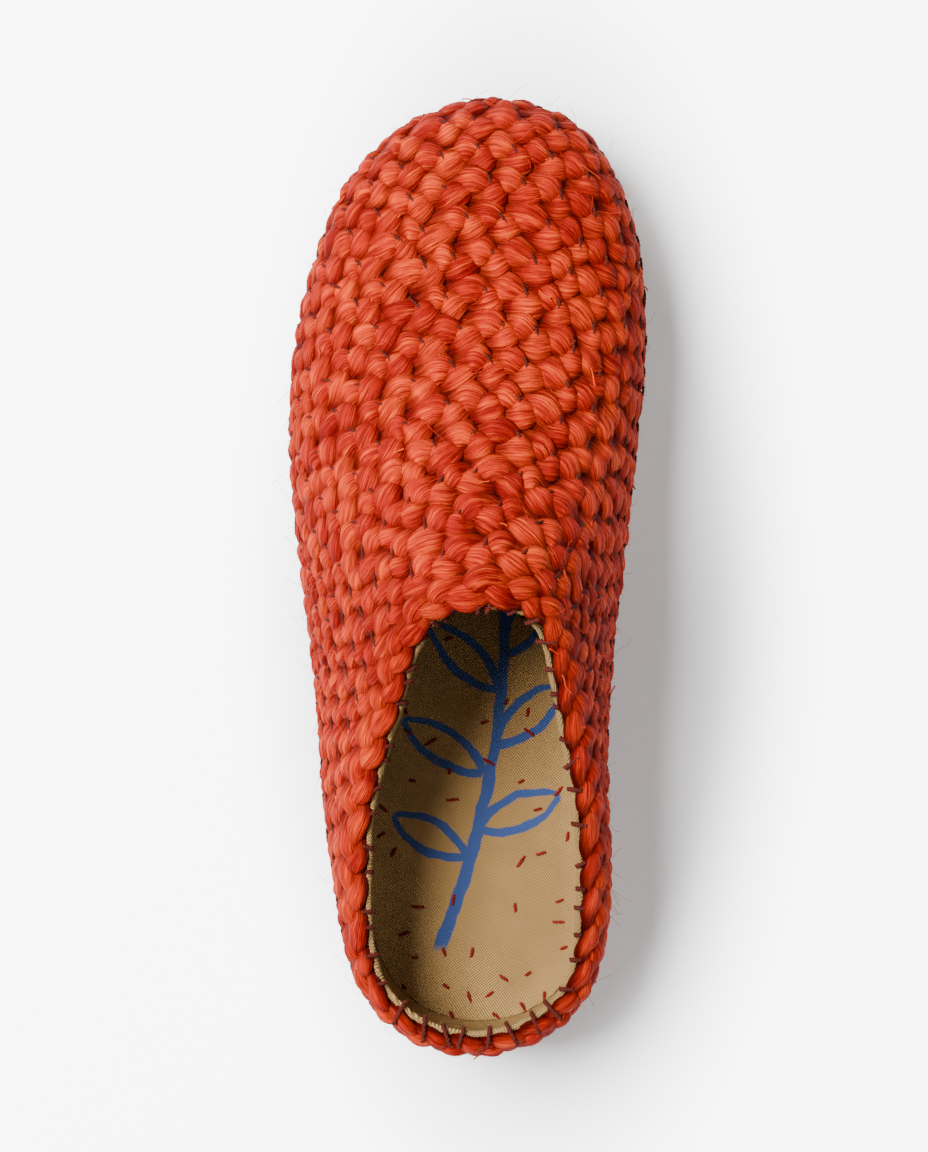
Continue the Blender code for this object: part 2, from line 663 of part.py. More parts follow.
class Wall:
    """The upper's wall, gathered line by line and closed by zipping each line to the next."""

    def __init__(self, last):
        self.last = last
        self.vertices = []
        self.faces = []
        self.spans = [last.span(row) for row in range(last.rows)]
        self.base = self.base_line()
        self.grooves = [self.groove(row) for row in range(last.rows)]

    def add(self, positions, points, closed=True):
        """Keep a line's points. A closed line's last point is its first one again."""
        start = len(self.vertices)
        kept = len(points) - closed
        self.vertices.extend(points[:kept])
        line = [(u, start + i) for i, u in enumerate(positions[:kept])]
        return line + [(1.0, start)] if closed else line

    def join(self, lines):
        """Close the bands between lines that follow each other."""
        for first, second in zip(lines, lines[1:]):
            self.faces += zip_lines(first, second)

    def base_line(self):
        """The line on the midsole, with a point wherever a row of plait ends there."""
        ends = {end for span in self.spans[HEEL_ROWS:] for end in span}
        fixed = sorted({0.0, 1.0} | ends)
        pieces = [self.last.spaced(self.last.rows_at, *pair, CHEVRON)[1:] for pair in zip(fixed, fixed[1:])]
        positions = np.concatenate([[0.0], *pieces])
        return self.add(positions, self.last.point(positions, self.last.rows_at(positions)))

    def groove(self, row):
        """The sewn groove above a row. Above the first row it is the collar's edge instead."""
        start, end = self.spans[row]
        u = self.last.spaced(lambda at: np.minimum(row, self.last.rows_at(at)), start, end, CHEVRON)
        points = self.last.point(u, row, GROOVE if row else 0.0)
        if row < HEEL_ROWS:
            return self.add(u, points)
        ends = [pair for pair in self.base if pair[0] in (start, end)]
        return ends[:1] + self.add(u[1:-1], points[1:-1], False) + ends[-1:]

    def line_below(self, row):
        """The lower edge of a row: the next groove, and the sole's edge where that has ended."""
        start, end = self.spans[row]
        if row + 1 < HEEL_ROWS:
            return self.grooves[row + 1]
        if row + 1 == self.last.rows:
            return [pair for pair in self.base if start <= pair[0] <= end]
        low, high = self.spans[row + 1]
        before = [pair for pair in self.base if start <= pair[0] < low]
        after = [pair for pair in self.base if high < pair[0] <= end]
        return before + self.grooves[row + 1] + after

    def raise_row(self, row):
        """One row of plait: two lines of lobes that lean against each other."""
        lines = [self.grooves[row]]
        for at, share in enumerate(ROW_LINES):
            def place_of(u, share=share):
                return row + share * np.clip(self.last.rows_at(u) - row, 0, 1)
            u = self.last.spaced(place_of, *self.spans[row], CHEVRON / 2, 2)
            high = (np.arange(len(u)) + at) % 2 == 0
            height = np.where(high, LOBE_HIGH, LOBE_LOW) * np.clip(self.last.rows_at(u) - row, 0, 1)
            points = self.last.point(u, place_of(u), height)
            if row < HEEL_ROWS:
                lines.append(self.add(u, points))
            else:
                lines.append(lines[0][:1] + self.add(u[1:-1], points[1:-1], False) + lines[0][-1:])
        self.join(lines + [self.line_below(row)])

    def inside(self):
        """Rings of points on the wall's inner face, from the midsole up to the collar."""
        u = np.linspace(0, 1, INNER_POINTS + 1)
        sides_of_way = np.repeat(self.last.way[:, None], 2, axis=1)
        rings = []
        for t in INNER_LINES:
            points = self.last.point(u, self.last.rows_at(u) * (1 - t), -WALL if t else 0.0)
            if t == 0:
                points[:, :2] -= WALL * read(sides_of_way, u, 0 * u)
            rings.append(points)
        return u, rings

    def crest(self):
        """The rounded top of the collar, midway between the wall's two faces."""
        u = np.array([position for position, _ in self.grooves[0]])
        top = self.last.point(u, 0 * u, -WALL / 2)
        rising = top - self.last.point(u, 0 * u + RIM_RISE / ROW_PITCH, -WALL / 2)
        return self.add(u, top + RIM_RISE * rising / np.linalg.norm(rising, axis=1)[:, None])


def upper():
    """The hollow wall of plaits: raised strips outside, plain inside, open at collar and sole."""
    wall = Wall(Last())
    for row in range(wall.last.rows):
        wall.raise_row(row)
    u, rings = wall.inside()
    wall.join([wall.base, *(wall.add(u, ring) for ring in rings), wall.crest(), wall.grooves[0]])
    return new_mesh("upper", wall.vertices, wall.faces), rings


def insole(rings):
    """The canvas insole: it fills the upper's floor and follows the wall up to its own thickness."""
    floor = rings[0][:-1]
    edge = np.zeros((len(floor), 2))
    for i in range(len(floor)):
        line = np.array([ring[i] for ring in rings])
        top = floor[i, 2] + INSOLE
        at = int(np.argmax(line[:, 2] > top))
        share = (top - line[at - 1, 2]) / (line[at, 2] - line[at - 1, 2])
        edge[i] = line[at - 1, :2] + share * (line[at, :2] - line[at - 1, :2])
    low = OUTSOLE + MIDSOLE + GAP
    mesh = slab("insole", inward(floor[:, :2], INSOLE_GAP), inward(edge, INSOLE_GAP), low, low + INSOLE)
    return bend(mesh)


def main():
    """Clear the scene and make the shoe's four pieces."""
    for item in list(bpy.data.objects):
        bpy.data.objects.remove(item)
    place("outsole", outsole(), material("crepe_rubber", (0.62, 0.42, 0.18), 0.6))
    place("midsole", midsole(), material("white_foam", (0.86, 0.83, 0.76), 0.9))
    plaits, rings = upper()
    place("upper", plaits, material("raffia", (0.78, 0.10, 0.035), 0.6))
    place("insole", insole(rings), material("canvas", (0.66, 0.47, 0.25), 0.9))


main()
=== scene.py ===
# %% [markdown]
# # A slipper clog of sewn raffia plaits
# The clog has four parts: an upper of hand-sewn plaits, a canvas insole, a foam midsole and a crepe
# outsole. Their solids come with the frame. This lesson dresses them as the real thing looks, seen
# from above on a pale floor. Lengths are in metres, +Y points to the toe and +Z up.

import math

import bmesh
import bpy
import numpy as np
from mathutils import Matrix, Vector


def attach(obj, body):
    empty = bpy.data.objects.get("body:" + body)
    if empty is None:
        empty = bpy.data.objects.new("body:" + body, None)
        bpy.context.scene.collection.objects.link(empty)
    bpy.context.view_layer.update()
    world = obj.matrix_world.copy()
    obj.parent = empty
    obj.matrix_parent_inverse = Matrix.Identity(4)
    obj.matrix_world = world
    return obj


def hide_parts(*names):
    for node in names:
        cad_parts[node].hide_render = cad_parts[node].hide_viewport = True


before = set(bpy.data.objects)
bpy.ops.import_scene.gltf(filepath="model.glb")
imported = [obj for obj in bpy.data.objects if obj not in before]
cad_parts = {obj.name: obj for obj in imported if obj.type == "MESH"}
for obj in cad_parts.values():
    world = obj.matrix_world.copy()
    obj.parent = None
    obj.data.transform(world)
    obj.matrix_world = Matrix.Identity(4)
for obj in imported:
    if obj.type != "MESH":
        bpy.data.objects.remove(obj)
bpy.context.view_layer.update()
print("frame parts:", sorted(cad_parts))

# %% [markdown]
# ## Sizes
# The plaits lie on the same last as the solid upper, so this cell repeats the sizes that shape the
# last. A table holds shares of the size that is named above it, which keeps it short and readable.

# %% Sizes of the shoe
LENGTH = 0.272
BALL_WIDTH = 0.103
INSTEP_HEIGHT = 0.098
HEEL_HEIGHT = 0.048
HEEL_TO_ORIGIN = 0.037
SOLE_END_INSET = 0.004
SOLE_SIDE_INSET = 0.0035
SOLE_LENGTH = LENGTH - 2 * SOLE_END_INSET
SOLE_WIDTH = BALL_WIDTH - 2 * SOLE_SIDE_INSET
OUTSOLE = 0.0055
MIDSOLE = 0.0065
TOE_SPRING = 0.008
ARCH_LIFT = 0.0015
WALL = 0.005
GIRTH_RISE_HEEL = 0.016
GIRTH_RISE_TOE = 0.007
FEATHER_INSET = 0.0005
RIM_RISE = 0.0015
ROW_PITCH = 0.011
HEEL_ROWS = 4
HEEL_EASE = 1.08
ROW_GATHER = 1.6
CHEVRON = 0.0105
LOBE_HIGH = 0.0016
INSOLE = 0.004
GAP = 0.0003
INSOLE_GAP = 0.0005

# %% Tables of the last
# Share of LENGTH, then the reach to the little-toe and big-toe side as shares of half the width
GIRTH_OUTLINE = (
    (0.030, 0.447, 0.495), (0.070, 0.621, 0.674), (0.110, 0.701, 0.742), (0.190, 0.784, 0.784),
    (0.270, 0.839, 0.769), (0.380, 0.887, 0.777), (0.500, 0.963, 0.839), (0.620, 1.029, 0.915),
    (0.700, 1.029, 0.957), (0.770, 0.983, 0.971), (0.850, 0.866, 0.928), (0.930, 0.647, 0.777),
    (0.967, 0.433, 0.625),
)
GIRTH_TIPS = (0.05, 0.14)
SOLE_OUTLINE = (
    (0.036, 0.500, 0.563), (0.087, 0.677, 0.740), (0.159, 0.750, 0.770), (0.254, 0.790, 0.720),
    (0.345, 0.823, 0.615), (0.447, 0.875, 0.615), (0.553, 0.970, 0.760), (0.655, 1.030, 0.917),
    (0.727, 1.020, 0.975), (0.811, 0.938, 0.958), (0.890, 0.770, 0.875), (0.955, 0.520, 0.700),
)
SOLE_TIPS = (0.04, 0.146)
# Share of LENGTH, then the ridge's place across as a share of half of BALL_WIDTH
SPINE = ((0.15, 0.050), (0.35, 0.100), (0.47, 0.145), (0.60, 0.100), (0.80, 0.080))
# Share of LENGTH, then the ridge's height as a share of INSTEP_HEIGHT
RIDGE = (
    (0.13, 0.755), (0.19, 0.796), (0.27, 0.837), (0.345, 0.900), (0.42, 0.985), (0.46, 1.000),
    (0.50, 0.975), (0.54, 0.903), (0.58, 0.816), (0.62, 0.735), (0.66, 0.673), (0.70, 0.622),
    (0.74, 0.582), (0.80, 0.535),
)
# Share of LENGTH, then the exponents of the cross-section on the little-toe and big-toe side
FULLNESS = (
    (0.13, 2.25, 2.3), (0.19, 1.95, 2.8), (0.27, 1.80, 3.2), (0.345, 1.55, 2.6), (0.42, 1.5, 2.3),
    (0.50, 1.6, 2.2), (0.60, 1.9, 2.1), (0.70, 2.2, 2.3), (0.80, 2.5, 2.5),
)
# Share of LENGTH, then the collar's share of the rise from HEEL_HEIGHT to INSTEP_HEIGHT
COLLAR = (
    (0.000, 0.00), (0.080, 0.01), (0.110, 0.05), (0.150, 0.12), (0.190, 0.17), (0.230, 0.24),
    (0.270, 0.30), (0.305, 0.36), (0.345, 0.46), (0.385, 0.60), (0.425, 0.74), (0.455, 0.86),
    (0.478, 1.03),
)
HEEL_CENTRE, HEEL_FAN = 0.15 * LENGTH, 0.28 * LENGTH
TOE_FAN, TOE_CENTRE = 0.66 * LENGTH, 0.80 * LENGTH
SPRING_START, ARCH_BACK, ARCH_FRONT = 0.72 * LENGTH, 0.31 * LENGTH, 0.55 * LENGTH
RAYS, FLANK_STEPS, CROWN_STEPS, RAY_STEPS = 360, 24, 120, 120
SPAN_STEPS, ROW_STEPS, COLLAR_WAVES = 12, 60, 9

# %% [markdown]
# ## The last
# A shoe is shaped over a last. Here the last is a set of lines that fan out from the ridge of the
# foot to the edge of the sole. Laying them flat lets us count rows of plait between the collar and
# the sole, just as the maker sews them. Formulas keep the form exact where a sculpted mesh would
# drift away from the solid below.

# %% Smooth curves through the tables


def slopes(gaps, values, closed):
    """Slopes at the knots of a cubic spline whose curvature has no steps."""
    count = len(values)
    matrix = np.zeros((count, count))
    right = np.zeros(values.shape)
    for i in range(count):
        after = (i + 1) % count
        before = i - 1
        if closed or 0 < i < count - 1:
            matrix[i, before] += 1 / gaps[before]
            matrix[i, i] += 2 / gaps[before] + 2 / gaps[i]
            matrix[i, after] += 1 / gaps[i]
            right[i] = 3 * (values[after] - values[i]) / gaps[i] ** 2
            right[i] += 3 * (values[i] - values[before]) / gaps[before] ** 2
        else:
            near = 1 if i == 0 else before
            gap = gaps[0] if i == 0 else -gaps[-1]
            matrix[i, i] = 2
            matrix[i, near] = 1
            right[i] = 3 * (values[near] - values[i]) / gap
    return np.linalg.solve(matrix, right)


def hermite(share, gap, start, end, start_slope, end_slope):
    """A point of the cubic between two knots."""
    return (start * (1 + 2 * share) * (1 - share) ** 2 + end * share ** 2 * (3 - 2 * share)
            + gap * (start_slope * share * (1 - share) ** 2 - end_slope * share ** 2 * (1 - share)))


def column(table, index, share):
    """One column of a table, read smoothly at a share of the length."""
    rows = np.array(table)
    knots, values = rows[:, 0], rows[:, index]
    gaps = np.diff(knots)
    slope = slopes(gaps, values, False)
    share = np.clip(share, knots[0], knots[-1])
    i = np.clip(np.searchsorted(knots, share, side="right") - 1, 0, len(gaps) - 1)
    return hermite((share - knots[i]) / gaps[i], gaps[i], values[i], values[i + 1], slope[i], slope[i + 1])


print("instep at half the length:", round(float(column(RIDGE, 1, 0.5)) * INSTEP_HEIGHT, 4))

# %% Lines, outlines and grids


def lengths(points):
    """Distance along a line of points, from its first point."""
    steps = np.linalg.norm(np.diff(points, axis=0), axis=1)
    return np.concatenate([[0.0], np.cumsum(steps)])


def even_loop(points, count):
    """Evenly spaced points round a closed line."""
    ring = np.vstack([points, points[:1]])
    along = lengths(ring)
    at = np.arange(count) * along[-1] / count
    return np.stack([np.interp(at, along, ring[:, axis]) for axis in range(ring.shape[1])], axis=1)


def outline(table, tips, length, half_width, back, count):
    """A smooth closed outline: up the little-toe side, round the toe, and back on the other side."""
    rows = np.array(table)
    heel = [(tips[0] * half_width, back)]
    toe = [(tips[1] * half_width, back + length)]
    outer = [(-row[1] * half_width, back + row[0] * length) for row in rows]
    inner = [(row[2] * half_width, back + row[0] * length) for row in rows[::-1]]
    points = np.array(heel + outer + toe + inner)
    following = np.roll(points, -1, axis=0)
    gaps = np.linalg.norm(following - points, axis=1)
    slope = slopes(gaps, points, True)
    fine = []
    for share in np.linspace(0, 1, 24, endpoint=False):
        fine.append(hermite(share, gaps[:, None], points, following, slope, np.roll(slope, -1, axis=0)))
    return even_loop(np.stack(fine, axis=1).reshape(-1, 2), count)


def lift(y):
    """Height of the tread off the floor: the toe spring and the low arch."""
    spring = np.clip((y - SPRING_START) / (LENGTH - SPRING_START), 0, None)
    arch = np.clip((y - ARCH_BACK) / (ARCH_FRONT - ARCH_BACK), 0, 1)
    return TOE_SPRING * spring ** 2 + ARCH_LIFT * np.sin(math.pi * arch) ** 2


def sole_loop(count):
    """The sole's edge."""
    return outline(SOLE_OUTLINE, SOLE_TIPS, SOLE_LENGTH, SOLE_WIDTH / 2, SOLE_END_INSET, count)


def cross(first, second):
    """The turn from one flat vector to another."""
    return first[..., 0] * second[..., 1] - first[..., 1] * second[..., 0]


def read(grid, u, v):
    """A value of a grid, at shares u round the shoe and v along its lines."""
    count, steps = grid.shape[0], grid.shape[1] - 1
    u = (np.asarray(u) % 1.0) * count
    v = np.clip(np.asarray(v), 0, 1) * steps
    i, j = np.floor(u).astype(int), np.minimum(np.floor(v).astype(int), steps - 1)
    s, t = (u - i)[..., None], (v - j)[..., None]
    near, far = i % count, (i + 1) % count
    return ((grid[near, j] * (1 - s) + grid[far, j] * s) * (1 - t)
            + (grid[near, j + 1] * (1 - s) + grid[far, j + 1] * s) * t)

# %% The last itself


class Last:
    """The outer form of the upper, on which rows of plait are counted from the collar down."""

    def __init__(self):
        girth = outline(GIRTH_OUTLINE, GIRTH_TIPS, LENGTH, BALL_WIDTH / 2, 0.0, RAYS)
        y = girth[:, 1]
        heel, toe = HEEL_FAN - HEEL_CENTRE, TOE_CENTRE - TOE_FAN
        fan = np.where(y > TOE_FAN, TOE_FAN + toe * np.tanh((y - TOE_FAN) / toe), y)
        fan = np.where(y < HEEL_FAN, HEEL_FAN - heel * np.tanh((HEEL_FAN - y) / heel), fan)
        share = fan / LENGTH
        self.root = np.stack([column(SPINE, 1, share) * BALL_WIDTH / 2, fan], axis=1)
        reach = np.linalg.norm(girth - self.root, axis=1)
        self.way = (girth - self.root) / reach[:, None]
        self.foot = self.edge_distance() - FEATHER_INSET
        tread = lift(self.root[:, 1] + self.way[:, 1] * self.foot)
        self.low = OUTSOLE + MIDSOLE + tread + GAP
        widest = reach - LOBE_HIGH
        girth_height = self.low + GIRTH_RISE_HEEL + (GIRTH_RISE_TOE - GIRTH_RISE_HEEL) * y / LENGTH
        ridge = column(RIDGE, 1, share) * INSTEP_HEIGHT - LOBE_HIGH
        side = 0.5 + 0.5 * self.way[:, 0]
        power = column(FULLNESS, 1, share) * (1 - side) + column(FULLNESS, 2, share) * side
        self.total = np.zeros(RAYS)
        self.points = np.zeros((RAYS, RAY_STEPS + 1, 3))
        rise = np.arange(FLANK_STEPS) / FLANK_STEPS
        turn = np.linspace(0, math.pi / 2, CROWN_STEPS + 1)
        for i in range(RAYS):
            bend_power = 2 / power[i]
            out = widest[i] - (widest[i] - self.foot[i]) * (1 - rise) ** 2
            out = np.append(out, widest[i] * np.clip(np.cos(turn), 0, 1) ** bend_power)
            up = self.low[i] + (girth_height[i] - self.low[i]) * rise
            up = np.append(up, girth_height[i] + (ridge[i] - girth_height[i]) * np.sin(turn) ** bend_power)
            along = lengths(np.stack([out, up], axis=1))
            at = np.linspace(0, along[-1], RAY_STEPS + 1)
            self.total[i] = along[-1]
            self.points[i, :, :2] = self.root[i] + self.way[i] * np.interp(at, along, out)[:, None]
            self.points[i, :, 2] = np.interp(at, along, up)
        self.toe = int(np.argmax(self.points[:, 0, 1]))
        self.lay_out()
        self.count_rows()

    def edge_distance(self):
        """How far the sole's edge is from the ridge along each line."""
        loop = sole_loop(RAYS)
        distance = np.zeros(RAYS)
        for i in range(RAYS):
            offset = loop - self.root[i]
            turn = cross(self.way[i], offset)
            ahead = offset @ self.way[i]
            later, further = np.roll(turn, -1), np.roll(ahead, -1)
            hit = (turn > 0) & (later <= 0) & (ahead + further > 0)
            share = turn[hit] / (turn[hit] - later[hit])
            distance[i] = np.max(ahead[hit] + share * (further[hit] - ahead[hit]))
        return distance

    def collar(self):
        """The collar's edge on the flattened upper, from the heel round by the little-toe side."""
        y = self.points[:, :, 1] / LENGTH
        edge = HEEL_HEIGHT + (INSTEP_HEIGHT - HEEL_HEIGHT) * column(COLLAR, 1, y) - RIM_RISE
        above = self.points[:, :, 2] - edge
        flat = []
        order = []
        for i in range(RAYS):
            crossing = np.flatnonzero((above[i, :-1] < 0) & (above[i, 1:] >= 0))
            if len(crossing) == 0 or y[i, 0] > COLLAR[-1][0]:
                continue
            at = crossing[0]
            share = at + above[i, at] / (above[i, at] - above[i, at + 1])
            flat.append(self.root[i] + self.way[i] * self.total[i] * (1 - share / RAY_STEPS))
            order.append(i if i < RAYS // 2 else i - RAYS)
        line = np.array(flat)[np.argsort(order)]
        ring = even_loop(line, RAYS)
        waves = np.fft.fft(ring[:, 0] + 1j * ring[:, 1])
        keep = np.abs(np.fft.fftfreq(RAYS) * RAYS) <= COLLAR_WAVES
        smooth = np.fft.ifft(waves * keep)
        ring = np.stack([smooth.real, smooth.imag], axis=1)
        return np.roll(ring, -int(np.argmin(ring[:, 1])), axis=0)

    def lay_out(self):
        """Lines from the sole's edge to the collar, on which the rows of plait are counted."""
        base = self.root + self.way * self.total[:, None]
        collar = self.collar()
        throat = int(np.argmax(collar[:, 1]))
        ray = np.arange(RAYS)
        half = np.where(ray <= self.toe, ray / self.toe, (RAYS - ray) / (RAYS - self.toe))
        share = 1 - (1 - half) ** 2
        target = np.where(ray <= self.toe, share * throat, RAYS - share * (RAYS - throat))
        ring = np.vstack([collar, collar[:1]])
        ends = np.stack([np.interp(target, np.arange(RAYS + 1), ring[:, axis]) for axis in (0, 1)], axis=1)
        self.grid = np.zeros((RAYS, ROW_STEPS + 1, 3))
        for step in range(ROW_STEPS + 1):
            self.grid[:, step] = self.fold_up(base + (ends - base) * step / ROW_STEPS)
        across = np.roll(self.grid, -1, axis=0) - np.roll(self.grid, 1, axis=0)
        normal = np.cross(np.gradient(self.grid, axis=1), across)
        self.normal = normal / np.linalg.norm(normal, axis=2)[..., None]

    def count_rows(self):
        """How many rows of plait lie between the collar and the sole's edge, all round."""
        reach = np.linalg.norm(np.diff(self.grid, axis=1), axis=2).sum(axis=1)
        short, long = reach[0] * HEEL_EASE, reach[self.toe]
        share = np.clip((reach - short) / (long - short), 0, 1)
        self.rows = max(HEEL_ROWS + 1, round(long / ROW_PITCH))
        count = HEEL_ROWS + (self.rows - HEEL_ROWS) * (1 - (1 - share) ** ROW_GATHER)
        rising = np.maximum.accumulate(count[:self.toe + 1])
        falling = np.maximum.accumulate(count[self.toe + 1:][::-1])[::-1]
        self.count = np.concatenate([rising, falling, rising[:1]])

    def fold_up(self, flat):
        """Points of the upper from their places on the flattened upper."""
        offset = flat[:, None, :] - self.root[None]
        turn = cross(self.way[None], offset)
        ahead = np.sum(offset * self.way[None], axis=2)
        later = np.roll(turn, -1, axis=1)
        further = np.roll(ahead, -1, axis=1)
        hit = (turn < 0) & (later >= 0) & (ahead + further > -GAP)
        best = np.argmax(np.where(hit, ahead + further, -1.0), axis=1)
        at = np.arange(len(flat))
        share = -turn[at, best] / np.maximum(later[at, best] - turn[at, best], 1e-12)
        after = (best + 1) % RAYS
        distance = ahead[at, best] * (1 - share) + further[at, best] * share
        total = self.total[best] * (1 - share) + self.total[after] * share
        return read(self.points, (best + share) / RAYS, 1 - np.clip(distance, 0, None) / total)

    def rows_at(self, u):
        """The number of rows at positions round the shoe, heel to heel from 0 to 1."""
        return np.interp(np.asarray(u) * RAYS, np.arange(RAYS + 1), self.count)

    def span(self, row):
        """The stretch round the shoe that a row covers: the front rows end at the sole's edge."""
        if row < HEEL_ROWS:
            return 0.0, 1.0
        u = np.linspace(0, 1, SPAN_STEPS * RAYS + 1)
        inside = np.flatnonzero(self.rows_at(u) > row)
        return u[inside[0]], u[inside[-1]]

    def normal_at(self, u, row):
        """The direction straight out of the form."""
        found = read(self.normal, u, 1 - np.asarray(row) / self.rows_at(u))
        return found / np.linalg.norm(found, axis=-1)[..., None]

    def point(self, u, row, height=0.0):
        """A point at a distance from the collar counted in rows, raised off the form."""
        t = 1 - np.asarray(row) / self.rows_at(u)
        raised = read(self.grid, u, t) + read(self.normal, u, t) * np.reshape(height, (-1, 1))
        return raised - (0, HEEL_TO_ORIGIN, 0)

    def spaced(self, row_of, start, end, count):
        """Positions at an even pitch along a line, its two ends included."""
        u = np.linspace(start, end, SPAN_STEPS * RAYS)
        along = lengths(self.point(u, row_of(u)))
        return np.interp(np.linspace(0, along[-1], count + 1), along, u), along[-1]


last = Last()
print("rows of plait at the toe:", last.rows)

# %% [markdown]
# ## Helpers for node trees
# Node trees can be written as short lines of code when one helper adds a node, links what goes into
# it and hands back what comes out. The same helper serves Geometry Nodes and shaders.

# %% Trees as nested calls


class Nodes:
    """A node tree that is written as nested calls."""

    def __init__(self, tree):
        self.tree = tree

    def add(self, kind, *values, output=0, **settings):
        """Adds a node, fills its inputs in order and returns one of its outputs."""
        made = self.tree.nodes.new(kind)
        for name, value in settings.items():
            setattr(made, name, value)
        for socket, value in zip([s for s in made.inputs if s.enabled], values):
            self.fill(socket, value)
        return [s for s in made.outputs if s.enabled][output]

    def fill(self, socket, value):
        """Links a socket, or sets its value."""
        if isinstance(value, bpy.types.NodeSocket):
            self.tree.links.new(value, socket)
        elif value is not None:
            socket.default_value = value

    def math(self, operation, *values):
        """One step of arithmetic on numbers."""
        return self.add("ShaderNodeMath", *values, operation=operation)

    def vector(self, operation, *values, output=0):
        """One step of arithmetic on vectors."""
        return self.add("ShaderNodeVectorMath", *values, operation=operation, output=output)

    def times(self, *values):
        """The product of several values."""
        found = values[0]
        for value in values[1:]:
            found = self.math("MULTIPLY", found, value)
        return found

    def plus(self, *values):
        """The sum of several values."""
        found = values[0]
        for value in values[1:]:
            found = self.math("ADD", found, value)
        return found

    def ramp(self, value, *stops):
        """A colour that follows a value through stops of (place, colour)."""
        made = self.tree.nodes.new("ShaderNodeValToRGB")
        ramp = made.color_ramp
        while len(ramp.elements) < len(stops):
            ramp.elements.new(0.5)
        for element, (place, colour) in zip(ramp.elements, stops):
            element.position = place
            element.color = colour
        self.tree.links.new(value, made.inputs[0])
        return made.outputs[0]

    def mix(self, share, first, second):
        """A mix of two colours."""
        made = self.tree.nodes.new("ShaderNodeMix")
        made.data_type = "RGBA"
        for at, value in ((0, share), (6, first), (7, second)):
            self.fill(made.inputs[at], value)
        return made.outputs[2]

    def between(self, value, low, high, start=0.0, end=1.0):
        """A value's place between two limits, as a share or between two other values."""
        return self.add("ShaderNodeMapRange", value, low, high, start, end)

# %% Objects and what their points carry


def shown(name, data):
    """An object in the scene for a mesh, a light or a camera."""
    item = bpy.data.objects.new(name, data)
    bpy.context.scene.collection.objects.link(item)
    return item


def counted(name, mesh):
    """Prints how many triangles a mesh has."""
    print(f"{name}: {sum(len(face.vertices) - 2 for face in mesh.polygons)} triangles")


def carried(mesh, values):
    """Keeps named numbers or vectors on the points of a mesh."""
    for key, data in values.items():
        data = np.asarray(data, np.float32)
        kind, field = ("FLOAT_VECTOR", "vector") if data.ndim == 2 else ("FLOAT", "value")
        mesh.attributes.new(key, kind, "POINT").data.foreach_set(field, data.ravel())

# %% Geometry trees with named sizes


class Builder(Nodes):
    """A Geometry Nodes tree with named sizes, applied to an object once it is complete."""

    def __init__(self, name, sizes):
        super().__init__(bpy.data.node_groups.new(name, "GeometryNodeTree"))
        face = self.tree.interface
        face.new_socket("Geometry", in_out="INPUT", socket_type="NodeSocketGeometry")
        face.new_socket("Geometry", in_out="OUTPUT", socket_type="NodeSocketGeometry")
        for size, value in sizes.items():
            face.new_socket(size, in_out="INPUT", socket_type="NodeSocketFloat").default_value = value
        self.given = self.tree.nodes.new("NodeGroupInput").outputs
        self.geometry = self.given["Geometry"]

    def named(self, name, kind="FLOAT"):
        """A value that the mesh carries under a name."""
        return self.add("GeometryNodeInputNamedAttribute", name, data_type=kind)

    def store(self, name, value):
        """Keeps a number on the points of the mesh under a name."""
        made = self.tree.nodes.new("GeometryNodeStoreNamedAttribute")
        self.fill(made.inputs["Geometry"], self.geometry)
        self.fill(made.inputs["Name"], name)
        self.fill(made.inputs["Value"], value)
        self.geometry = made.outputs[0]

    def finish(self, finish_of):
        """Ends the tree in real geometry with one material."""
        real = self.add("GeometryNodeRealizeInstances", self.geometry)
        made = self.add("GeometryNodeSetMaterial", real, None, finish_of)
        self.tree.links.new(made, self.tree.nodes.new("NodeGroupOutput").inputs[0])

    def apply(self, name, mesh, sizes):
        """Runs the tree on a mesh and keeps the result as a plain object."""
        item = shown(name, mesh)
        modifier = item.modifiers.new(self.tree.name, "NODES")
        modifier.node_group = self.tree
        for socket in self.tree.interface.items_tree:
            if socket.in_out == "INPUT" and socket.name in sizes:
                modifier[socket.identifier] = sizes[socket.name]
        graph = bpy.context.evaluated_depsgraph_get()
        made = bpy.data.meshes.new_from_object(item.evaluated_get(graph), depsgraph=graph)
        item.modifiers.clear()
        item.data = made
        made.name = name
        counted(name, made)
        return item

# %% [markdown]
# ## Finishes
# Raffia is a dyed leaf fibre: every strand shows fine streaks along its length. Painted shade turns it
# deep red where strands dive under each other, so the crowns look paler. The streaks are read from a map
# that runs along each strand, so they bend and gather with it. A noise stretched along that map makes
# them, because a picture would repeat itself on four and a half metres of plait.

# %% Shared effects
FIBRES_ACROSS, FIBRE_LENGTH = 52.0, 0.009
BUNDLE = 0.25
STREAK_LOW, STREAK_HIGH = 0.38, 0.56


def effect(name, inputs, outputs):
    """An empty shader group with named inputs and outputs."""
    tree = bpy.data.node_groups.new(name, "ShaderNodeTree")
    for socket, (kind, value) in inputs.items():
        made = tree.interface.new_socket(socket, in_out="INPUT", socket_type="NodeSocket" + kind)
        if value is not None:
            made.default_value = value
    for socket, kind in outputs.items():
        tree.interface.new_socket(socket, in_out="OUTPUT", socket_type="NodeSocket" + kind)
    nodes = Nodes(tree)
    nodes.given = tree.nodes.new("NodeGroupInput").outputs
    nodes.out = tree.nodes.new("NodeGroupOutput").inputs
    return nodes


def noise(nodes, place, scale, detail, rough, output=0):
    """A noise read at a place."""
    made = nodes.tree.nodes.new("ShaderNodeTexNoise")
    for socket, value in (("Vector", place), ("Scale", scale), ("Detail", detail), ("Roughness", rough)):
        nodes.fill(made.inputs[socket], value)
    return made.outputs[output]


